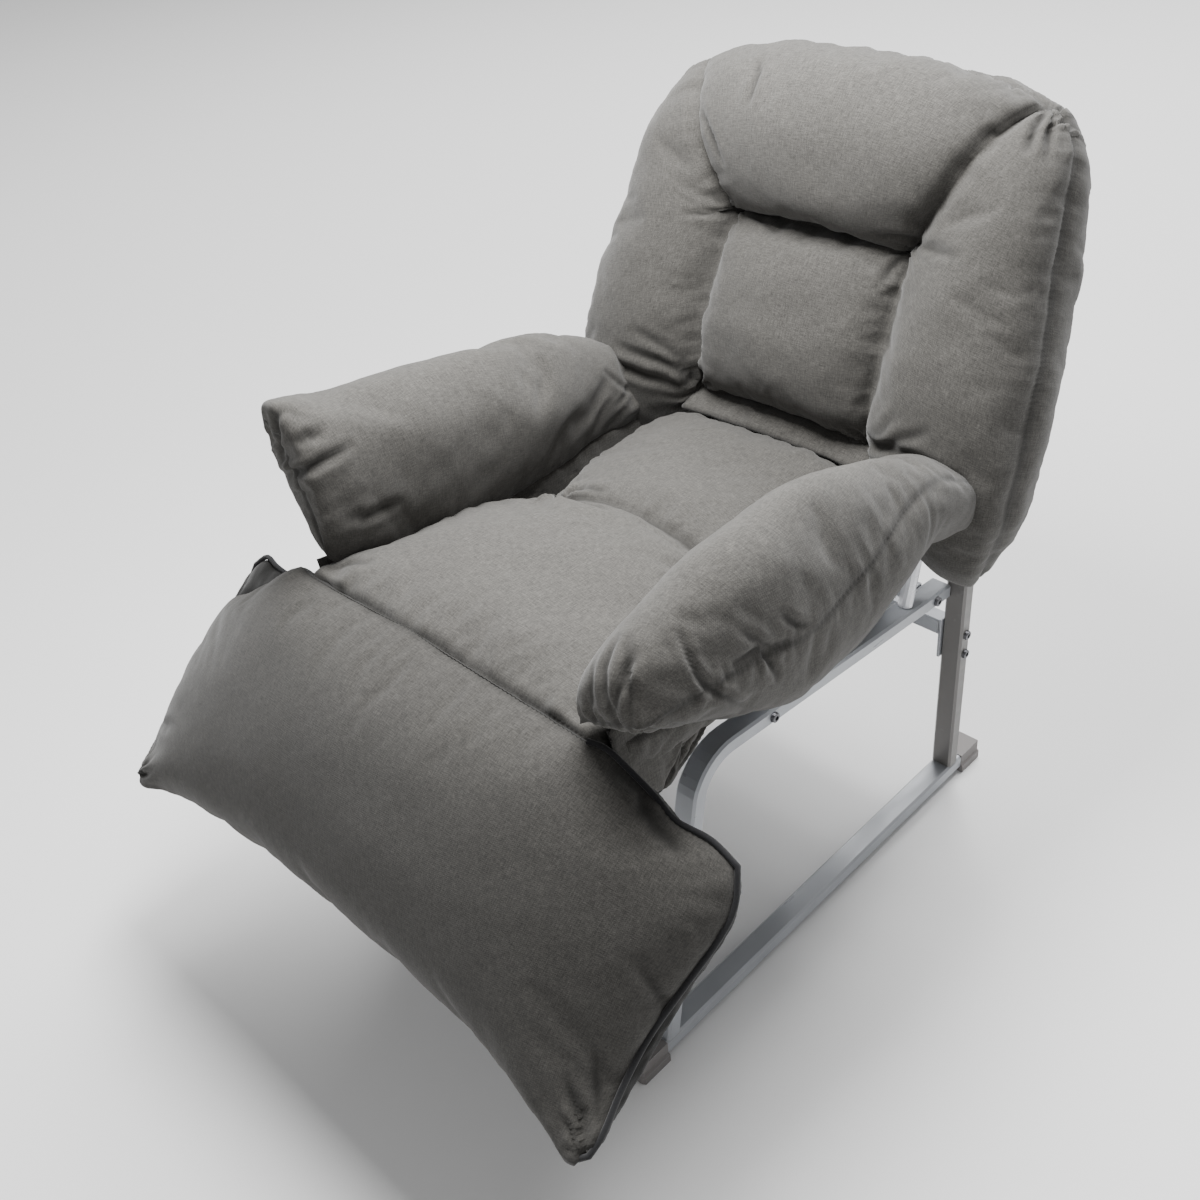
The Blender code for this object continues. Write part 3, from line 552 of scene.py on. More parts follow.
class Look:
    """A Principled material while its nodes are put together."""

    def __init__(self, name, roughness, metallic=0.0):
        """An empty material of one roughness."""
        self.material = bpy.data.materials.new(name)
        self.material.use_nodes = True
        self.nodes, self.links = self.material.node_tree.nodes, self.material.node_tree.links
        self.shader = self.nodes["Principled BSDF"]
        self.surface("Roughness", roughness)
        self.surface("Metallic", metallic)

    def put(self, value, socket):
        """Gives a socket a number, a colour, or another socket's value."""
        if isinstance(value, (int, float)):
            socket.default_value = value
        elif isinstance(value, tuple):
            socket.default_value = (*value, 1.0)
        else:
            self.links.new(value, socket)

    def surface(self, name, value):
        """Sets one property of the surface."""
        self.put(value, self.shader.inputs[name])

    def node(self, kind, **inputs):
        """A new node, with what goes into its named inputs."""
        made = self.nodes.new("ShaderNode" + kind)
        for name, value in inputs.items():
            self.put(value, made.inputs[name])
        return made

    def place(self):
        """Where on the object a point is, in metres."""
        return self.node("TexCoord").outputs["Object"]

    def stored(self, name):
        """A number that was kept per point."""
        node = self.node("Attribute")
        node.attribute_name = name
        return node.outputs["Fac"]

    def axes(self, source):
        """The separate coordinates of a place."""
        return self.node("SeparateXYZ", Vector=source).outputs

    def noise(self, source, scale, detail=2.0, stretch=(1.0, 1.0, 1.0)):
        """A noise texture on stretched coordinates."""
        mapping = self.node("Mapping", Vector=source)
        mapping.inputs["Scale"].default_value = stretch
        texture = self.node("TexNoise", Vector=mapping.outputs["Vector"], Scale=scale, Detail=detail)
        return texture.outputs["Fac"]

    def calculate(self, operation, a, b=0.0):
        """A Math node; a and b are sockets or numbers."""
        node = self.node("Math")
        node.operation = operation
        for socket, value in zip(node.inputs, (a, b)):
            self.put(value, socket)
        return node.outputs[0]

    def threads(self, source, width):
        """Side-by-side threads of a width along one coordinate, as a wave from -1 to 1."""
        return self.calculate("SINE", self.calculate("MULTIPLY", source, math.pi / width))

    def ramp(self, source, low, high, start=0.3, end=0.7):
        """A change from one grey or colour to another while a value goes from start to end."""
        node = self.node("ValToRGB", Fac=source)
        for element, position, colour in zip(node.color_ramp.elements, (start, end), (low, high)):
            element.position = position
            element.color = (*(colour if isinstance(colour, tuple) else (colour,) * 3), 1.0)
        return node.outputs["Color"]

    def mixed(self, kind, factor, a, b):
        """A colour mix; factor, a and b are sockets, numbers or colours."""
        node = self.node("Mix")
        node.data_type = "RGBA"
        node.blend_type = kind
        for at, value in zip(MIX_INPUTS, (factor, a, b)):
            self.put(value, node.inputs[at])
        return node.outputs[MIX_OUTPUT]

    def bump(self, *layers):
        """Bumps stacked on the surface, from (height socket, strength, distance)."""
        last = None
        for height, strength, distance in layers:
            node = self.node("Bump", Height=height, Strength=strength, Distance=distance)
            if last:
                self.put(last, node.inputs["Normal"])
            last = node.outputs["Normal"]
        self.surface("Normal", last)

    def edge_wear(self, breakup, radius):
        """Where a surface turns a corner, broken up by noise."""
        rounded = self.node("Bevel", Radius=radius).outputs["Normal"]
        flat = self.node("NewGeometry").outputs["Normal"]
        dot = self.node("VectorMath")
        dot.operation = "DOT_PRODUCT"
        self.put(rounded, dot.inputs[0])
        self.put(flat, dot.inputs[1])
        turned = self.calculate("SUBTRACT", 1.0, dot.outputs["Value"])
        wide = self.calculate("MULTIPLY", turned, 5.0)
        return self.calculate("MINIMUM", self.calculate("MULTIPLY", wide, breakup), 0.6)


def tinted(colour, factor):
    """A colour, lighter or darker."""
    return tuple(c * factor for c in colour)


def cloth_material(name, colour, thread=0.0013):
    """Brushed plain-weave upholstery cloth: crossed threads, flecked yarn, soft wear, painted shade along
    seams and folds, and chosen panels much darker.
    """
    look = Look(name, 0.92)
    look.surface("Sheen Weight", 0.16)
    look.surface("Sheen Roughness", 0.55)
    look.surface("Specular IOR Level", 0.16)
    uv = look.node("UVMap")
    uv.uv_map = "cloth"
    on_cloth, place = uv.outputs["UV"], look.place()
    across, along, _ = look.axes(on_cloth)
    weave = look.calculate("MULTIPLY", look.threads(across, thread), look.threads(along, thread))
    yarn_u = look.noise(on_cloth, 100.0, 3.0, (8.0, 0.9, 1.0))
    yarn_v = look.noise(on_cloth, 100.0, 3.0, (0.9, 8.0, 1.0))
    yarn = look.calculate("MULTIPLY", look.calculate("ADD", yarn_u, yarn_v), 0.5)
    fleck = look.noise(place, 620.0, 2.0)
    patch = look.noise(place, 7.0, 3.0)
    cloud = look.noise(place, 45.0, 3.0)
    base = look.ramp(yarn, tinted(colour, 1 - YARN_CONTRAST), tinted(colour, 1 + YARN_CONTRAST), 0.36, 0.64)
    for spread, dark, light in ((fleck, 0.80, 1.18), (patch, 0.94, 1.05), (cloud, 0.96, 1.04)):
        base = look.mixed("MULTIPLY", 1.0, base, look.ramp(spread, dark, light))
    # painted shade in seams and folds: the cloth is mixed towards a much darker grey there
    seam = look.calculate("MULTIPLY", look.stored("seam"), 0.8)
    base = look.mixed("MIX", seam, base, tinted(colour, 0.28))
    # chosen panels, the leg rest's rear and edges, are mixed to a much darker grey
    base = look.mixed("MIX", look.stored("lining"), base, tinted(colour, 0.16))
    look.surface("Base Color", base)
    look.surface("Roughness", look.ramp(patch, 0.86, 0.97))
    look.bump((weave, 0.2, 0.0002), (yarn, 0.5, 0.0006), (fleck, 0.35, 0.0004), (cloud, 0.2, 0.002))
    return look.material


def paint_material(name, colour, roughness, metallic=0.15, worn=(0.5, 0.5, 0.5)):
    """Powder-coated steel: fine orange peel, faint clouding, scuffs and edges rubbed lighter."""
    look = Look(name, roughness, metallic)
    look.surface("Coat Weight", 0.15)
    look.surface("Coat Roughness", 0.35)
    place = look.place()
    cloud = look.noise(place, 14.0, 4.0)
    peel = look.noise(place, 750.0, 1.0)
    scuff = look.noise(place, 60.0, 6.0, (1.0, 0.25, 1.0))
    base = look.ramp(cloud, tinted(colour, 0.93), tinted(colour, 1.07))
    base = look.mixed("MIX", look.edge_wear(scuff, 0.0016), base, worn)
    rubbed = look.ramp(scuff, 0.0, 0.35, 0.62, 0.72)
    base = look.mixed("MIX", look.calculate("MULTIPLY", rubbed, 0.35), base, tinted(worn, 0.9))
    look.surface("Base Color", base)
    look.surface("Roughness", look.ramp(scuff, roughness - 0.07, roughness + 0.14, 0.3, 0.75))
    look.bump((peel, 0.25, 0.0004), (cloud, 0.1, 0.002))
    return look.material


def metal_material(name, colour, roughness):
    """Plated or blackened steel with a fine brushed grain."""
    look = Look(name, roughness, 0.9)
    place = look.place()
    grain = look.noise(place, 120.0, 3.0, (1.0, 9.0, 9.0))
    cloud = look.noise(place, 40.0, 3.0)
    look.surface("Base Color", look.ramp(cloud, tinted(colour, 0.85), tinted(colour, 1.12)))
    look.surface("Roughness", look.ramp(grain, roughness - 0.1, roughness + 0.15))
    look.bump((grain, 0.2, 0.0004))
    return look.material


def plastic_material(name, colour):
    """Moulded matte plastic with a spark-eroded texture and edges rubbed lighter."""
    look = Look(name, 0.6)
    place = look.place()
    texture = look.noise(place, 1400.0, 2.0)
    cloud = look.noise(place, 30.0, 4.0)
    base = look.ramp(cloud, tinted(colour, 0.9), tinted(colour, 1.1))
    base = look.mixed("MIX", look.edge_wear(cloud, 0.0012), base, tinted(colour, 1.7))
    look.surface("Base Color", base)
    look.surface("Roughness", look.ramp(cloud, 0.52, 0.68))
    look.bump((texture, 0.35, 0.0003))
    return look.material


def webbing_material(name):
    """Dark woven polypropylene panel with coarse crossed bands."""
    look = Look(name, 0.65)
    x, y, z = look.axes(look.place())
    across = look.threads(x, 0.003)
    along = look.threads(look.calculate("ADD", y, z), 0.003)
    weave = look.calculate("MULTIPLY", across, along)
    look.surface("Base Color", look.ramp(weave, 0.012, 0.05, 0.2, 0.9))
    look.bump((weave, 0.6, 0.0008))
    return look.material


YARN_CONTRAST = 0.34               # how much lighter and darker than its colour a cloth's yarn gets
CLOTH_GREY = (0.068, 0.0650, 0.0595)
MATERIALS = {
    "grey_cloth": cloth_material("grey_cloth_look", CLOTH_GREY),
    # painted shade: the leg rest's copy of the cloth, darkened to 0.72 of the seat's
    "shaded_leg_cloth": cloth_material("leg_cloth_look", tinted(CLOTH_GREY, 0.72)),
    "piping": cloth_material("piping_look", (0.016, 0.016, 0.0175), thread=0.0009),
    "painted_steel": paint_material("painted_steel_look", (0.35, 0.365, 0.39), 0.34),
    "silver_steel": paint_material("silver_steel_look", (0.66, 0.67, 0.70), 0.30, 0.3, (0.85, 0.85, 0.85)),
    # painted shade: the uprights' brown-grey paint, darkened far below the other paint
    "shaded_upright_steel": paint_material("upright_steel_look", (0.145, 0.139, 0.133), 0.40),
    "dark_steel": metal_material("dark_steel_look", (0.15, 0.15, 0.16), 0.42),
    "zinc_steel": metal_material("zinc_steel_look", (0.52, 0.53, 0.55), 0.34),
    "grey_plastic": plastic_material("grey_plastic_look", (0.19, 0.178, 0.174)),
    "black_webbing": webbing_material("black_webbing_look"),
}


def dress_cad_nodes():
    """Gives every CAD node the detailed material of its slot; the uprights instead get a darker paint as
    painted shade.
    """
    for part in frame["record"]["subparts"]:
        obj = frame["nodes"][part["node"]]
        obj.data.materials.clear()
        # the uprights take the paint darkened as painted shade
        look = "shaded_upright_steel" if "upright" in part["node"] else part["material_slot"]
        obj.data.materials.append(MATERIALS[look])


def finish_cover(obj, look):
    """Gives a cushion cover its material."""
    obj.data.materials.clear()
    obj.data.materials.append(MATERIALS[look])


# Seam outlines and sections from here on are given in metres and were adjusted. Their guide was a scratch
# program that lays points picked on the photo onto planes that were assumed.

# -------------------------------- backrest
DOWN_BACK = np.array(on_back(0, -1, 0)) - np.array(on_back(0, 0, 0))
LUMBAR_LOW = (0.141, 0.114, 0.063)      # corners of the right side's panels, as (x, along, front)
HEAD_LOW = (0.134, 0.349, 0.068)
HEAD_TOP = (0.234, 0.524, 0.056)
BOLSTER_TOP = (0.250, 0.519, 0.052)
BOLSTER_FOOT_IN = (0.172, 0.048, 0.030)
BOLSTER_FOOT_OUT = (0.290, -0.018, 0.000)
REAR_FOOT = (0.272, -0.030, -0.036)
BOLSTER_COLUMNS = 24                    # mesh steps across a bolster
EDGE_STEPS = 6                          # mesh steps across the back's boxed edge


def back_line(points, sign=1.0, count=None):
    """A seam on the backrest through (x, along, front) points."""
    return seam_line([on_back(*p) for p in to_side(sign, points)], count)


def bolster_seams(sign):
    """The seams round one side's bolster."""
    inner = {
        "low": [BOLSTER_FOOT_IN, (0.150, 0.080, 0.050), LUMBAR_LOW],
        "lumbar": [LUMBAR_LOW, (0.136, 0.152, 0.084), (0.136, 0.20, 0.094), (0.135, 0.255, 0.092),
                   (0.134, 0.312, 0.082), HEAD_LOW],
        "head": [HEAD_LOW, (0.153, 0.382, 0.094), (0.176, 0.420, 0.112), (0.195, 0.458, 0.112),
                 (0.216, 0.496, 0.090), HEAD_TOP],
    }
    foot = [BOLSTER_FOOT_IN, (0.205, 0.020, 0.004), (0.245, -0.010, -0.004), BOLSTER_FOOT_OUT]
    outer = [BOLSTER_FOOT_OUT, (0.325, 0.05, 0.054), (0.336, 0.12, 0.079), (0.332, 0.20, 0.082),
             (0.321, 0.27, 0.074), (0.308, 0.345, 0.072), (0.291, 0.43, 0.064), (0.279, 0.472, 0.058),
             (0.268, 0.498, 0.055), BOLSTER_TOP]
    seams = {name: back_line(points, sign) for name, points in inner.items()}
    seams["inner"] = joined(*seams.values())
    seams["outer"] = back_line(outer, sign, len(seams["inner"]) - 1)
    seams["foot"] = back_line(foot, sign, BOLSTER_COLUMNS)
    seams["top"] = back_line([HEAD_TOP, BOLSTER_TOP], sign, BOLSTER_COLUMNS)
    return seams


def back_cushion():
    """The padded back: head and lumbar panels between two full-height bolsters, a boxed edge and a rear."""
    left, right = bolster_seams(-1.0), bolster_seams(1.0)
    lumbar_foot = back_line(both_sides([LUMBAR_LOW], (0, 0.114, 0.065)))
    across = len(lumbar_foot) - 1
    head_foot = back_line(both_sides([HEAD_LOW], (0, 0.350, 0.072)), count=across)
    head_top = back_line(both_sides([(0.13, 0.545, 0.046), HEAD_TOP], (0, 0.552, 0.044)), count=across)
    skirt = back_line(both_sides([BOLSTER_FOOT_IN], (0, 0.050, 0.032)), count=across)
    front = (0, -1, 0.4)
    hang = {"bottom": DOWN_BACK * 0.004}
    grids = [
        pillow(lumbar_foot, right["lumbar"], head_foot, left["lumbar"], 0.037, front),
        pillow(head_foot, right["head"], head_top, left["head"], 0.047, front, 0.9, hang),
        pillow(skirt, right["low"], lumbar_foot, left["low"], 0.010, front),
    ]
    for part, sign in ((left, -1.0), (right, 1.0)):
        over = {"right": np.array((sign * 0.012, 0, 0)), "bottom": DOWN_BACK * 0.018 + (sign * 0.006, 0, 0)}
        seams = (part["foot"], part["outer"], part["top"], part["inner"])
        grids.append(pillow(*seams, 0.060, front, 0.9, over, taut=True))

    rim_front = joined(right["outer"], right["top"][::-1], head_top[::-1], left["top"], left["outer"][::-1])
    rear_side = [(0.14, 0.538, -0.030), (0.222, 0.507, -0.034), (0.260, 0.45, -0.040), (0.276, 0.36, -0.044),
                 (0.286, 0.25, -0.046), (0.296, 0.15, -0.046), (0.299, 0.06, -0.044), REAR_FOOT]
    rim_rear = back_line(both_sides(rear_side, (0, 0.548, -0.028))[::-1], count=len(rim_front) - 1)
    hem_front = joined(left["foot"][::-1], skirt, right["foot"])
    hem_side = [(0.12, 0.040, -0.036), (0.20, 0.012, -0.040), REAR_FOOT]
    hem_rear = back_line(both_sides(hem_side, (0, 0.046, -0.035)), count=len(hem_front) - 1)
    end_right, end_left = rungs(rim_front, rim_rear, EDGE_STEPS)
    grids.append(pillow(rim_front, end_left, rim_rear, end_right, 0.011, (0, 0, 1)))
    grids.append(pillow(hem_rear, end_right[::-1], hem_front, end_left[::-1], 0.010, (0, 0.2, -1)))
    width = len(hem_rear) - 1
    rise = (len(rim_rear) - 1 - width) // 2
    climb_right, climb_left = rim_rear[:rise + 1], rim_rear[rise + width:][::-1]
    rear_top = rim_rear[rise:rise + width + 1][::-1]
    grids.append(pillow(hem_rear, climb_right, rear_top, climb_left, 0.014, (0, 1, -0.4)))
    return sewn("back_cushion_cover", grids)


# -------------------------------- seat
FOLD_X, FOLD_Y, FOLD_Z = 0.229, -0.3168, 0.542    # the crease where the leg rest hangs from the seat
FOLD_END = (FOLD_X, FOLD_Y, FOLD_Z - 0.003)
SEAT_FRONT_LOW = (0.205, -0.285, 0.452)
SEAT_REAR_LOW = (0.170, 0.240, 0.405)
SEAT_REAR = (0.135, 0.243, 0.534)
PINCH = (0.125, -0.010, 0.526)     # the gathered corner between the seat's two bulges, right side
WALL_STEPS = 14                    # mesh steps down the seat's sides
FLANK_LENGTH, CHEEK_LENGTH = 0.36, 0.28      # of the seams beside the front and the rear bulge


def fold_line():
    """The crease between seat and leg rest, left to right."""
    points = [(-FOLD_X, *FOLD_END[1:]), (0, FOLD_Y + 0.002, FOLD_Z + 0.001), FOLD_END]
    return spline(points, steps_for(2 * FOLD_X))


def seat_cushion():
    """A large front bulge and a smaller rear one, parted by a seam, on boxed sides."""
    fold = fold_line()
    across = len(fold) - 1
    middle = spline(both_sides([(0.05, 0.003, 0.536), PINCH]), across)
    rear = spline(both_sides([SEAT_REAR], (0, 0.246, 0.538)), across)
    front_low = spline(both_sides([SEAT_FRONT_LOW], (0, -0.290, 0.462)), across)
    rear_low = spline(both_sides([SEAT_REAR_LOW], (0, 0.243, 0.400)), across)
    grids = []
    sides = {}
    for name, sign in SIDES:
        flank = [FOLD_END, (0.243, -0.25, 0.512), (0.245, -0.17, 0.496), (0.236, -0.09, 0.492),
                 (0.205, -0.038, 0.498), (0.160, -0.014, 0.512), PINCH]
        cheek = [PINCH, (0.152, 0.022, 0.508), (0.180, 0.085, 0.500), (0.186, 0.140, 0.500),
                 (0.176, 0.195, 0.510), (0.155, 0.232, 0.524), SEAT_REAR]
        low = [SEAT_FRONT_LOW, (0.216, -0.20, 0.436), (0.203, -0.02, 0.418), (0.200, 0.16, 0.405),
               SEAT_REAR_LOW]
        side = {
            "flank": spline(to_side(sign, flank), steps_for(FLANK_LENGTH)),
            "cheek": spline(to_side(sign, cheek), steps_for(CHEEK_LENGTH)),
        }
        edge = joined(side["flank"], side["cheek"])
        side["low"] = spline(to_side(sign, low), len(edge) - 1)
        side["front"], side["rear"] = rungs(edge, side["low"], WALL_STEPS)
        grids.append(pillow(edge, side["rear"], side["low"], side["front"], 0.016, (sign, 0, 0)))
        sides[name] = side
    left, right = sides["left"], sides["right"]
    up = (0, 0, 1)
    grids.append(pillow(fold, right["flank"], middle, left["flank"], 0.048, up))
    grids.append(pillow(middle, right["cheek"], rear, left["cheek"], 0.036, up))
    grids.append(pillow(front_low, right["front"][::-1], fold, left["front"][::-1], 0.006, (0, -1, 0)))
    grids.append(pillow(rear_low, right["rear"][::-1], rear, left["rear"][::-1], 0.008, (0, 1, 0)))
    grids.append(pillow(front_low, right["low"], rear_low, left["low"], 0.004, (0, 0, -1)))
    return sewn("seat_cushion_cover", grids)


# -------------------------------- leg rest
def leg_line(points, count):
    """A seam on the leg rest through (x, along, front) points."""
    return spline([on_leg(*p) for p in points], count)


DOWN_LEG = np.array(on_leg(0, 1, 0)) - np.array(on_leg(0, 0, 0))
LEG_EDGE_STEPS = 5                 # mesh steps between the leg rest's front seam and its lining
LEG_LENGTH, WING_LENGTH = 0.31, 0.18
LEG_CORNER = (0.401, 0.259, 0.080)
LEG_REAR_CORNER = (0.388, 0.254, 0.062)
LEG_FOOT = [(0.15, 0.239, 0.026), (0.25, 0.242, 0.038), (0.32, 0.249, 0.056), (0.36, 0.261, 0.072),
            (0.386, 0.271, 0.079), LEG_CORNER]
LEG_SIDE = {   # up the front seam from the foot to the wing's corner, then in along the wing to the fold
    "right": ([LEG_CORNER, (0.401, 0.237, 0.071), (0.391, 0.200, 0.052), (0.389, 0.150, 0.038),
               (0.399, 0.090, 0.029), (0.408, 0.040, 0.022), (0.409, 0.005, 0.019), (0.398, -0.030, 0.022)],
              [(0.250, -0.076, 0.072), (0.272, -0.066, 0.058), (0.300, -0.052, 0.042), (0.326, -0.040, 0.034),
               (0.365, -0.040, 0.028), (0.398, -0.030, 0.022)]),
    "left": ([LEG_CORNER, (0.412, 0.237, 0.072), (0.419, 0.200, 0.056), (0.416, 0.150, 0.044),
              (0.414, 0.100, 0.036), (0.411, 0.050, 0.030), (0.402, 0.014, 0.028)],
             [(0.250, -0.076, 0.072), (0.272, -0.064, 0.058), (0.300, -0.044, 0.042), (0.334, -0.020, 0.033),
              (0.368, -0.003, 0.029), (0.400, 0.014, 0.028)]),
}
LEG_REAR_SIDE = {   # the same two lines of the much darker rear panel behind
    "right": ([LEG_REAR_CORNER, (0.388, 0.20, 0.030), (0.390, 0.10, 0.006), (0.394, 0.02, -0.002),
               (0.388, -0.024, 0.004)],
              [(0.232, -0.052, 0.030), (0.280, -0.046, 0.018), (0.340, -0.034, 0.010),
               (0.388, -0.024, 0.004)]),
    "left": ([LEG_REAR_CORNER, (0.402, 0.20, 0.034), (0.404, 0.10, 0.010), (0.411, 0.03, 0.002),
              (0.416, -0.004, 0.004), (0.409, -0.028, 0.010)],
             [(0.232, -0.052, 0.030), (0.280, -0.052, 0.022), (0.330, -0.041, 0.015), (0.364, -0.041, 0.013),
              (0.390, -0.045, 0.012), (0.409, -0.028, 0.010)]),
}


def leg_edges(table, middle, rows, across):
    """The side seams, left then right, and the seam along the top of one face of the leg rest."""
    sides, wings = [], []
    for name, sign in SIDES:
        up, along = table[name]
        sides.append(leg_line(to_side(sign, up), rows))
        inner = middle[0 if sign < 0 else -1]
        outward = [tuple(inner)] + [on_leg(*p) for p in to_side(sign, along)]
        wings.append(spline(outward, (across + 1 - len(middle)) // 2))
    return (*sides, joined(wings[0][::-1], middle, wings[1]))


def leg_cushion():
    """The flared leg-rest pillow that hangs from the seat's front, and the line that its piping follows."""
    fold = fold_line()
    across = len(fold) - 1 + 2 * steps_for(WING_LENGTH)
    rows = steps_for(LEG_LENGTH)
    foot = leg_line(both_sides(LEG_FOOT, (0, 0.240, 0.024)), across)
    left, right, top = leg_edges(LEG_SIDE, fold, rows, across)
    front, rear = (0, -1, 0.6), (0, 1, -0.8)
    grids = [pillow(foot, right, top, left, 0.078, front, 1.15, {"bottom": DOWN_LEG * 0.046}, taut=True)]
    foot_side = [(0.20, 0.216, -0.010), (0.30, 0.230, 0.024), LEG_REAR_CORNER]
    back_foot = leg_line(both_sides(foot_side, (0, 0.214, -0.016)), across)
    back_fold = leg_line(both_sides([(0.225, -0.052, 0.031)], (0, -0.046, 0.036)), len(fold) - 1)
    back_left, back_right, back_top = leg_edges(LEG_REAR_SIDE, back_fold, rows, across)
    foot_left, foot_right = rungs(foot, back_foot, LEG_EDGE_STEPS)
    top_left, top_right = rungs(top, back_top, LEG_EDGE_STEPS)
    grids.append(pillow(back_foot, back_right, back_top, back_left, 0.022, rear))
    grids.append(pillow(right, top_right, back_right, foot_right, 0.005, (1, 0, 0)))
    grids.append(pillow(left, top_left, back_left, foot_left, 0.005, (-1, 0, 0)))
    grids.append(pillow(foot, foot_right, back_foot, foot_left, 0.004, (0, 0, -1)))
    grids.append(pillow(top, top_right, back_top, top_left, 0.002, (0, 0, 1)))
    wing = (across + 1 - len(fold)) // 2
    half = wing // 2
    behind = joined(back_top[:half + 1][::-1], back_left[::-1], foot_left[::-1])
    outline = joined(behind, foot, right, top[::-1][:wing + 1])
    return sewn("leg_rest_cover", grids, darker_panels=(1, 2, 3, 4, 5)), outline


def piping(name, line, look, radius=0.0032):
    """A corded edge along a seam, as a mesh swept along its line."""
    curve = bpy.data.curves.new(name, "CURVE")
    curve.dimensions = "3D"
    curve.bevel_depth = radius
    curve.bevel_resolution = 3
    curve.use_fill_caps = True
    run = curve.splines.new("POLY")
    run.points.add(len(line) - 1)
    for point, place in zip(run.points, line):
        point.co = (*place, 1.0)
    swept = put_in_scene(name, curve)
    graph = bpy.context.evaluated_depsgraph_get()
    mesh = bpy.data.meshes.new_from_object(swept.evaluated_get(graph))
    bpy.data.objects.remove(swept)
    mesh.materials.append(MATERIALS[look])
    mesh.shade_smooth()
    return put_in_scene(name, mesh)


# -------------------------------- arms
ARM_LENGTH = 0.60
ARM_STEPS = 34                     # mesh steps round each of an arm's two panels

# Per station along an arm: Y, then (X, Z) from the seat side's lower edge, over the arm, to the outer seam
ARM_REAR = (
    (0.080, (0.222, 0.490), (0.210, 0.550), (0.218, 0.630), (0.256, 0.668), (0.294, 0.660), (0.314, 0.626)),
    (0.150, (0.222, 0.500), (0.213, 0.541), (0.222, 0.608), (0.250, 0.642), (0.285, 0.641), (0.305, 0.625)),
    (0.210, (0.219, 0.498), (0.209, 0.528), (0.218, 0.572), (0.248, 0.605), (0.282, 0.607), (0.303, 0.596)),
    (0.250, (0.212, 0.496), (0.204, 0.518), (0.214, 0.545), (0.246, 0.567), (0.278, 0.570), (0.299, 0.564)),
    (0.278, (0.206, 0.494), (0.204, 0.500), (0.212, 0.509), (0.243, 0.520), (0.278, 0.524), (0.295, 0.520)),
)
ARM_TOP_RIGHT = (
    (-0.323, (0.226, 0.560), (0.240, 0.572), (0.255, 0.580), (0.272, 0.588), (0.288, 0.594), (0.303, 0.598)),
    (-0.310, (0.222, 0.560), (0.217, 0.588), (0.232, 0.616), (0.262, 0.634), (0.292, 0.628), (0.309, 0.597)),
    (-0.272, (0.222, 0.546), (0.212, 0.582), (0.222, 0.634), (0.259, 0.664), (0.299, 0.652), (0.317, 0.604)),
    (-0.190, (0.224, 0.506), (0.211, 0.565), (0.220, 0.648), (0.260, 0.690), (0.307, 0.670), (0.326, 0.600)),
    (-0.100, (0.224, 0.487), (0.211, 0.556), (0.219, 0.655), (0.260, 0.698), (0.309, 0.673), (0.329, 0.588)),
    (-0.010, (0.224, 0.484), (0.211, 0.552), (0.219, 0.650), (0.260, 0.692), (0.305, 0.669), (0.327, 0.604)),
    *ARM_REAR,
)
ARM_TOP_LEFT = (
    (-0.292, (0.224, 0.566), (0.232, 0.604), (0.244, 0.640), (0.258, 0.672), (0.273, 0.696), (0.286, 0.708)),
    (-0.288, (0.221, 0.540), (0.214, 0.604), (0.226, 0.676), (0.256, 0.728), (0.288, 0.729), (0.301, 0.696)),
    (-0.255, (0.221, 0.514), (0.211, 0.588), (0.222, 0.680), (0.259, 0.730), (0.299, 0.716), (0.315, 0.658)),
    (-0.185, (0.224, 0.497), (0.211, 0.565), (0.220, 0.668), (0.260, 0.714), (0.309, 0.690), (0.330, 0.605)),
    (-0.100, (0.224, 0.487), (0.211, 0.556), (0.219, 0.660), (0.260, 0.704), (0.312, 0.676), (0.332, 0.578)),
    (-0.010, (0.224, 0.484), (0.211, 0.552), (0.219, 0.648), (0.260, 0.690), (0.307, 0.667), (0.328, 0.590)),
    *ARM_REAR,
)

# Per station between the ends: (X, Z) of the outer panel's middle and foot, and of the sleeve's underside
ARM_REAR_LOW = (
    ((0.324, 0.575), (0.302, 0.516), (0.260, 0.490)),
    ((0.315, 0.586), (0.298, 0.532), (0.258, 0.502)),
    ((0.311, 0.560), (0.296, 0.516), (0.254, 0.497)),
    ((0.304, 0.538), (0.290, 0.507), (0.248, 0.494)),
)
ARM_LOW_RIGHT = (
    ((0.307, 0.592), (0.294, 0.584), (0.256, 0.572)),
    ((0.317, 0.588), (0.301, 0.567), (0.258, 0.552)),
    ((0.326, 0.562), (0.303, 0.521), (0.262, 0.508)),
    ((0.330, 0.545), (0.304, 0.484), (0.262, 0.474)),
    ((0.328, 0.550), (0.301, 0.483), (0.262, 0.472)),
    *ARM_REAR_LOW,
)
ARM_LOW_LEFT = (
    ((0.292, 0.654), (0.272, 0.622), (0.244, 0.566)),
    ((0.304, 0.624), (0.284, 0.582), (0.254, 0.534)),
    ((0.322, 0.570), (0.298, 0.522), (0.262, 0.502)),
    ((0.327, 0.540), (0.300, 0.486), (0.262, 0.476)),
    ((0.326, 0.534), (0.298, 0.480), (0.262, 0.472)),
    *ARM_REAR_LOW,
)
ARM_SHAPE = {"right": (ARM_TOP_RIGHT, ARM_LOW_RIGHT), "left": (ARM_TOP_LEFT, ARM_LOW_LEFT)}


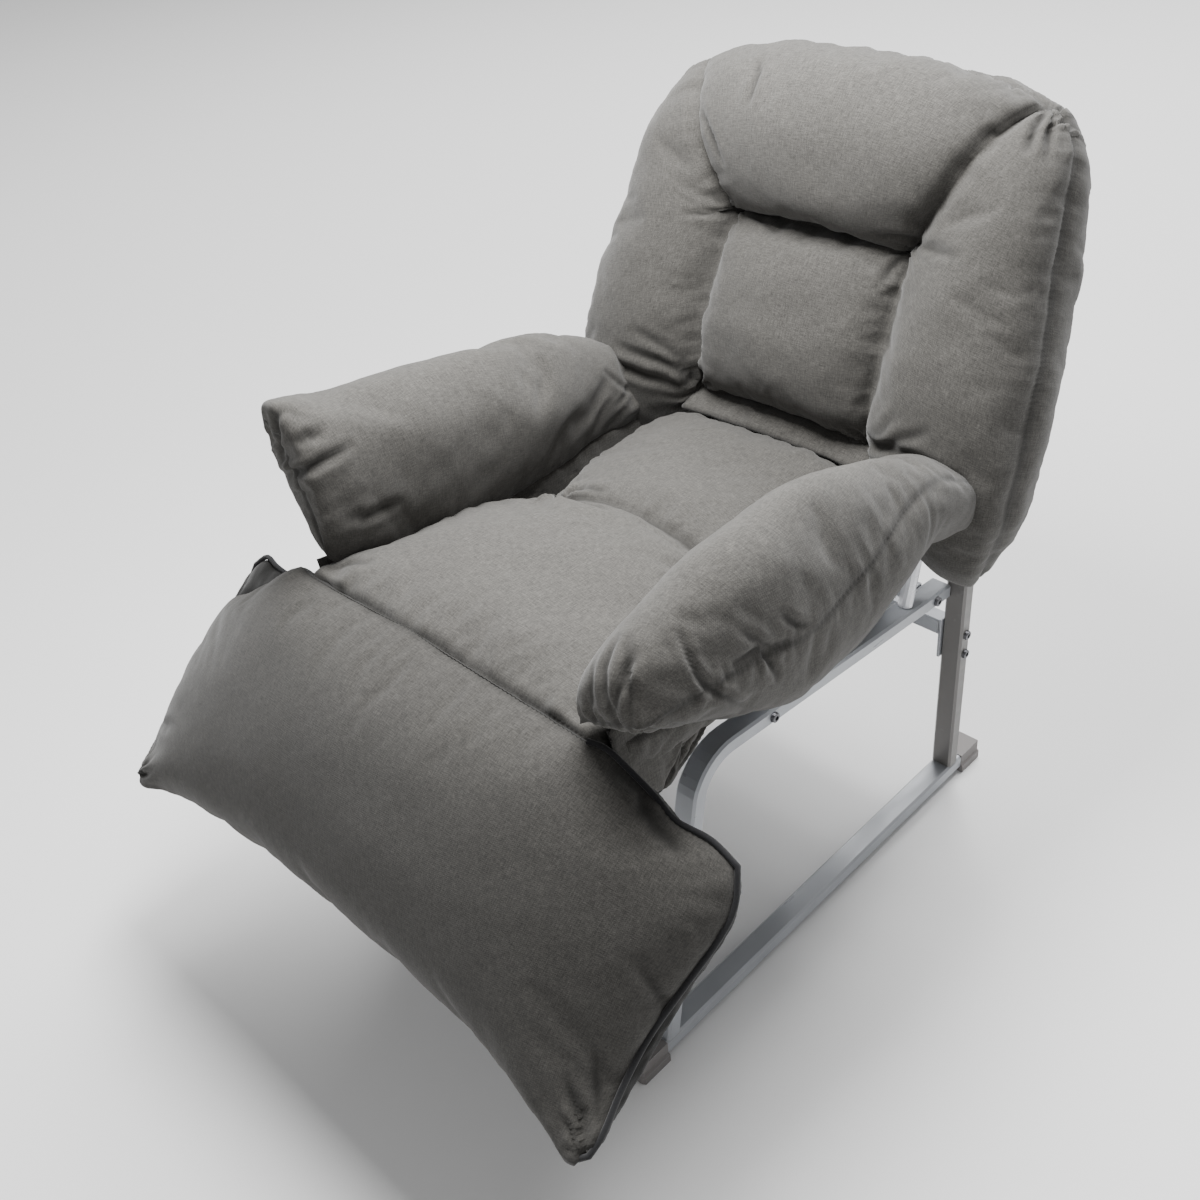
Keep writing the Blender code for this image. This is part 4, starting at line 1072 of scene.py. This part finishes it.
def arm_cover(name, sign):
    """A padded sleeve: a wide top panel over the arm, and a narrower one under its outer seam."""
    tops, lows = ARM_SHAPE[name]
    top = [[(sign * x, y, z) for x, z in outline] for y, *outline in tops]
    under = [top[0][::-1]]
    for row, low in zip(top[1:-1], lows):
        y = row[0][1]
        under.append([row[-1], *((sign * x, y, z) for x, z in low), row[0]])
    under.append(top[-1][::-1])
    around, rows = ARM_STEPS, steps_for(ARM_LENGTH)
    under = [list(spline(line, 5)) for line in under]
    grids = [netted(top, around, rows), netted(under, around, rows)]
    weld_edges(grids)
    return sewn(f"arm_pad_cover_{name}", grids)


def weld_edges(grids):
    """Makes the two arm panels share their seam, lower edge and end lines exactly."""
    top, under = grids
    under[:, 0] = top[:, -1]
    under[:, -1] = top[:, 0]
    under[0] = top[0][::-1]
    under[-1] = top[-1][::-1]


# -------------------------------- joining strip and side walls
def lumbar_strip():
    """The flat strip of cloth that joins the back of the seat to the foot of the lumbar panel."""
    across, along = 48, 8
    rear = spline(both_sides([(0.150, 0.246, 0.531)], (0, 0.244, 0.539)), across)
    lumbar = back_line(both_sides([(0.148, 0.113, 0.058)], (0, 0.112, 0.063)), count=across)
    left, right = rungs(rear, lumbar, along)
    above = pillow(rear, right, lumbar, left, 0.007, (0, -0.3, 1))
    drop = np.array((0, 0.004, -0.010))
    below = stretched(rear, right, lumbar, left) + drop * swelling(above)[:, :, None]
    return sewn("lumbar_strip", [above, below])


def side_gusset(name, sign):
    """The cloth wall that closes the gap between an arm's inner edge and the seat's side."""
    above = [(0.238, -0.302, 0.548), (0.233, -0.27, 0.545), (0.232, -0.24, 0.532), (0.230, -0.17, 0.512),
             (0.228, -0.05, 0.498), (0.226, 0.08, 0.500), (0.224, 0.17, 0.508), (0.216, 0.245, 0.506)]
    below = [(0.242, -0.292, 0.416), (0.239, -0.225, 0.413), (0.237, -0.185, 0.432), (0.233, -0.14, 0.450),
             (0.228, -0.05, 0.446), (0.222, 0.08, 0.440), (0.216, 0.17, 0.436), (0.210, 0.240, 0.440)]
    along, up = 84, 18
    above, below = (spline(to_side(sign, line), along) for line in (above, below))
    front, rear = rungs(below, above, up)
    outer = pillow(below, rear, above, front, 0.006, (sign, 0, 0))
    inner = pillow(below, rear, above, front, 0.004, (-sign, 0, 0))
    return sewn(f"side_gusset_{name}", [outer, inner])


# -------------------------------- folds and gathers
# Per cover, for each fold: (the side it is seen from, points across that side, depth, width). Most points are
# not free-hand: a scratch program cast points picked on the photo onto the model and printed their places,
# which were moved a little by hand and rounded to 5 mm. Depths and widths were judged.
FOLDS = {
    "arm_pad_cover_right": (
        ("right", [(-0.25, 0.66), (-0.255, 0.645), (-0.25, 0.62), (-0.235, 0.595), (-0.20, 0.555)],
         0.0065, 0.0045),
        ("right", [(-0.205, 0.61), (-0.185, 0.61), (-0.17, 0.60), (-0.155, 0.565)], 0.007, 0.005),
        ("right", [(-0.19, 0.64), (-0.18, 0.625), (-0.155, 0.60), (-0.13, 0.595)], 0.005, 0.005),
        ("right", [(-0.14, 0.63), (-0.12, 0.605), (-0.105, 0.60)], 0.005, 0.0045),
        ("end", [(0.275, 0.60), (0.265, 0.62), (0.255, 0.64), (0.25, 0.655)], 0.006, 0.005),
        ("end", [(0.28, 0.605), (0.28, 0.63), (0.275, 0.65), (0.265, 0.66)], 0.006, 0.005),
        ("end", [(0.295, 0.61), (0.29, 0.63), (0.28, 0.645), (0.28, 0.655)], 0.005, 0.005),
        ("end", [(0.25, 0.585), (0.245, 0.605), (0.24, 0.625)], 0.005, 0.005),
        ("right", [(-0.31, 0.59), (-0.29, 0.575), (-0.27, 0.56)], 0.004, 0.005),
        ("right", [(-0.29, 0.59), (-0.26, 0.565), (-0.24, 0.545)], 0.004, 0.005),
        ("right", [(0.12, 0.63), (0.12, 0.605), (0.11, 0.575)], 0.002, 0.0045),
        ("right", [(0.15, 0.63), (0.185, 0.61), (0.215, 0.595)], 0.002, 0.006),
    ),
    "arm_pad_cover_left": (
        ("top", [(-0.275, -0.29), (-0.255, -0.285), (-0.245, -0.27)], 0.006, 0.006),
        ("right", [(-0.29, 0.70), (-0.28, 0.70), (-0.255, 0.70)], 0.007, 0.006),
        ("right", [(-0.29, 0.655), (-0.28, 0.67), (-0.26, 0.67), (-0.235, 0.675)], 0.007, 0.006),
        ("right", [(-0.26, 0.59), (-0.23, 0.585), (-0.19, 0.58)], 0.005, 0.007),
        ("right", [(0.23, 0.56), (0.205, 0.55), (0.185, 0.54)], 0.003, 0.004),
        ("right", [(0.175, 0.595), (0.20, 0.565), (0.23, 0.54)], 0.003, 0.004),
    ),
    "back_cushion_cover": (
        ("back", [(-0.285, 0.12), (-0.23, 0.115), (-0.145, 0.11)], 0.008, 0.007),
        ("back", [(-0.235, 0.14), (-0.165, 0.135), (-0.14, 0.12)], 0.006, 0.006),
        ("back", [(-0.21, 0.17), (-0.165, 0.155), (-0.14, 0.13)], 0.004, 0.006),
        ("back", [(0.15, 0.12), (0.18, 0.125), (0.21, 0.145), (0.245, 0.16)], 0.006, 0.006),
        ("back", [(0.15, 0.12), (0.22, 0.13), (0.295, 0.12)], 0.008, 0.007),
        ("back", [(0.15, 0.13), (0.175, 0.14), (0.195, 0.165)], 0.004, 0.006),
        ("back", [(-0.125, 0.35), (-0.15, 0.335), (-0.175, 0.33)], 0.006, 0.005),
        ("back", [(-0.125, 0.355), (-0.15, 0.357), (-0.17, 0.355)], 0.004, 0.005),
        ("back", [(0.145, 0.355), (0.18, 0.356), (0.22, 0.355)], 0.005, 0.006),
        ("back", [(0.145, 0.355), (0.13, 0.36), (0.10, 0.355)], 0.004, 0.005),
        ("back", [(-0.12, 0.345), (-0.09, 0.34), (-0.05, 0.33)], 0.004, 0.005),
        ("back", [(0.13, 0.345), (0.12, 0.33), (0.115, 0.305)], 0.005, 0.005),
        ("back", [(-0.175, 0.455), (-0.15, 0.43), (-0.125, 0.40)], 0.006, 0.005),
        ("back", [(-0.09, 0.47), (-0.095, 0.495), (-0.105, 0.52)], 0.006, 0.005),
        ("back", [(0.225, 0.515), (0.215, 0.495), (0.20, 0.48)], 0.006, 0.005),
        ("back", [(0.24, 0.52), (0.245, 0.50), (0.25, 0.475)], 0.007, 0.005),
        ("back", [(0.25, 0.515), (0.26, 0.495), (0.27, 0.47)], 0.005, 0.005),
    ),
    "seat_cushion_cover": (
        ("top", [(-0.135, 0.0), (-0.105, 0.01), (-0.07, 0.015)], 0.005, 0.006),
        ("top", [(-0.13, -0.01), (-0.085, -0.015), (-0.035, -0.015)], 0.004, 0.007),
        ("top", [(-0.215, -0.295), (-0.195, -0.28), (-0.165, -0.27)], 0.004, 0.006),
    ),
    "leg_rest_cover": (
        ("leg", [(0.26, -0.065), (0.29, -0.055), (0.31, -0.04), (0.35, -0.025)], 0.008, 0.010),
        ("leg", [(0.39, 0.23), (0.375, 0.205), (0.365, 0.18)], 0.005, 0.006),
        ("leg", [(0.385, 0.24), (0.365, 0.225), (0.35, 0.21)], 0.005, 0.006),
        ("leg", [(0.37, 0.085), (0.39, 0.11), (0.395, 0.13)], 0.004, 0.006),
    ),
    "side_gusset_right": (
        ("right", [(-0.18, 0.47), (-0.20, 0.445), (-0.225, 0.415)], 0.008, 0.005),
    ),
}


def gathers():
    """Per cover: (seam line, height, wave, reach, seed) of each ruched seam."""
    top = back_line([(-0.225, 0.528, 0.052), (-0.12, 0.545, 0.047), (0, 0.552, 0.044),
                     (0.12, 0.546, 0.046), (0.225, 0.528, 0.052)], count=8)
    top_right = [on_back(0.02, 0.551, 0.044), on_back(0.12, 0.546, 0.046), on_back(0.22, 0.530, 0.052)]
    corner = [on_back(0.232, 0.524, 0.056), on_back(*BOLSTER_TOP), on_back(0.268, 0.498, 0.055)]
    left_end = [(-0.240, -0.292, 0.625), (-0.258, -0.292, 0.668), (-0.273, -0.292, 0.690),
                (-0.288, -0.292, 0.700)]
    right_tip = [(0.228, -0.322, 0.564), (0.255, -0.323, 0.580), (0.300, -0.323, 0.597)]
    right_seam = [(0.317, -0.272, 0.604), (0.327, -0.180, 0.599), (0.329, -0.100, 0.588)]
    return {
        "back_cushion_cover": ((top, 0.0022, 0.030, 0.022, 3), (top_right, 0.0030, 0.018, 0.020, 4),
                               (corner, 0.0030, 0.016, 0.022, 8)),
        "arm_pad_cover_left": ((left_end, 0.0028, 0.020, 0.022, 5),),
        "arm_pad_cover_right": ((right_tip, 0.0022, 0.018, 0.020, 6), (right_seam, 0.0012, 0.020, 0.012, 7)),
    }


def stars():
    """Per cover: (centre, reach, height, folds, seed) of each gathered corner."""
    found = []
    for sign in (-1, 1):
        found.append((on_back(sign * HEAD_LOW[0], *HEAD_LOW[1:]), 0.055, 0.0032, 9, 11 + sign))
        found.append((on_back(sign * LUMBAR_LOW[0], *LUMBAR_LOW[1:]), 0.070, 0.0042, 11, 15 + sign))
    seat = [((sign * PINCH[0], *PINCH[1:]), 0.050, 0.0035, 8, 21 + sign) for sign in (-1, 1)]
    leg = [(on_leg(sign * 0.392, 0.258, 0.080), 0.050, 0.0030, 8, 25 + sign) for sign in (-1, 1)]
    return {"back_cushion_cover": found, "seat_cushion_cover": seat, "leg_rest_cover": leg}


def wrinkle(obj):
    """All of a cover's own gathers, gathered corners and folds."""
    for line, height, wave, reach, seed in gathers().get(obj.name, ()):
        gather(obj, line, height, wave, reach, seed)
    for centre, reach, height, folds, seed in stars().get(obj.name, ()):
        star(obj, centre, reach, height, folds, seed)
    for view, line, depth, width in FOLDS.get(obj.name, ()):
        crease(obj, seen_from(obj, view, line), depth, width)


# -------------------------------- putting it together
THIN_SEAM = dict(groove=0.0020, groove_width=0.0035, pucker=0.0012)      # of the leg rest and the arms


def detail(obj, seams, smooth, thin_seam):
    """Subdivides a cover and gives it its unevenness, seams, gathers and folds."""
    subdivided(obj)
    rough = 0.4 if smooth else 1.0
    crumple(obj, 0.0014 * rough, 0.10, 5)
    crumple(obj, 0.0004 * rough, 0.035, 9)
    sew_in(obj, seams, seed=len(obj.name), **(THIN_SEAM if thin_seam else {}))
    wrinkle(obj)


def build_soft_goods():
    """Every cushion, with its simulation and finish; the back, seat, arms and side gussets are hung on their
    bodies.
    """
    back = back_cushion()
    seat = seat_cushion()
    leg, outline = leg_cushion()
    arms = {name: arm_cover(name, sign) for name, sign in SIDES}
    gussets = {name: side_gusset(name, sign) for name, sign in SIDES}
    strip = lumbar_strip()
    everything = (back, seat, leg, *arms.values(), strip, *gussets.values())
    seams = {obj.name: seam_points(obj) for obj in everything}
    settle([    # cover, air pressure, spare cloth, most that a point may move
        (back, 3.5, 0.02, 0.022),
        (seat, 3.0, 0.02, 0.018),
        (leg, 2.5, 0.015, 0.016),
        (arms["left"], 2.2, 0.02, 0.012),
        (arms["right"], 2.0, 0.015, 0.010),
    ])
    for obj in everything:
        detail(obj, seams[obj.name], smooth=obj is leg, thin_seam=obj in (leg, *arms.values()))
        # the leg rest takes the copy of the cloth darkened as painted shade
        finish_cover(obj, "shaded_leg_cloth" if obj is leg else "grey_cloth")
    cord = piping("leg_rest_piping", outline, "piping")

    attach(back, "backrest")
    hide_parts("back_cushion", "back_rear_cover")
    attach(seat, "base")
    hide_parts("seat_cushion")
    for name, _ in SIDES:
        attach(arms[name], "base")
        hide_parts(f"arm_pad_{name}")
        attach(gussets[name], "base")
    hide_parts("footrest_cushion", "footrest_rear_cover")
    for obj in (leg, cord):
        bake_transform(obj)
    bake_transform(strip)


# -------------------------------- floor, lights and camera
FLOOR_REACH = 14.0                 # of the floor, each way from the chair


def floor():
    """A plain pale floor."""
    mesh = bpy.data.meshes.new("studio_floor")
    corners = [(x * FLOOR_REACH, y * FLOOR_REACH, 0) for x, y in ((-1, -1), (1, -1), (1, 1), (-1, 1))]
    mesh.from_pydata(corners, [], [(0, 1, 2, 3)])
    look = Look("floor_look", 0.9)
    look.surface("Base Color", (0.85, 0.85, 0.85))
    look.surface("Specular IOR Level", 0.1)
    mesh.materials.append(look.material)
    put_in_scene("studio_floor", mesh)


def lamp(name, place, target, size, power):
    """A soft square light aimed at a point."""
    data = bpy.data.lights.new(name, "AREA")
    data.size = size
    data.energy = power
    obj = put_in_scene(name, data)
    obj.location = place
    obj.rotation_euler = (Vector(target) - Vector(place)).to_track_quat("-Z", "Y").to_euler()
    obj.visible_camera = False


def studio():
    """Soft studio light and a pale world."""
    world = bpy.data.worlds.new("studio_world")
    bpy.context.scene.world = world
    world.use_nodes = True
    sky = world.node_tree.nodes["Background"]
    sky.inputs["Color"].default_value = (1, 1, 1, 1)
    sky.inputs["Strength"].default_value = 0.43
    lamp("key_light", place=(-0.05, 0.0, 1.55), target=(0, 0, 0), size=0.5, power=31)
    lamp("top_light", place=(-0.8, 3.2, 6.0), target=(0, 0.6, 0), size=4.0, power=800)


CAMERA_PLACE = (0.94552, -0.92955, 1.39040)       # solved from the photo, with the angles and the lens
CAMERA_AZIMUTH = math.radians(47.873)
CAMERA_ELEVATION = math.radians(36.102)
CAMERA_ROLL = math.radians(-6.071)
CAMERA_LENS = 39.73


def camera():
    """The camera, looking down at the chair from its front right."""
    data = bpy.data.cameras.new("view_camera")
    data.lens = CAMERA_LENS
    data.sensor_width = 36.0
    obj = put_in_scene("view_camera", data)
    azimuth, elevation, roll = CAMERA_AZIMUTH, CAMERA_ELEVATION, CAMERA_ROLL
    flat = math.cos(elevation)
    ahead = Vector((-math.sin(azimuth) * flat, math.cos(azimuth) * flat, -math.sin(elevation)))
    level = Vector((math.cos(azimuth), math.sin(azimuth), 0))
    upright = level.cross(ahead)
    right = math.cos(roll) * level + math.sin(roll) * upright
    up = -math.sin(roll) * level + math.cos(roll) * upright
    obj.matrix_world = Matrix.Translation(CAMERA_PLACE) @ Matrix((right, up, -ahead)).transposed().to_4x4()
    bpy.context.scene.camera = obj


camera()
floor()
studio()
dress_cad_nodes()
build_soft_goods()
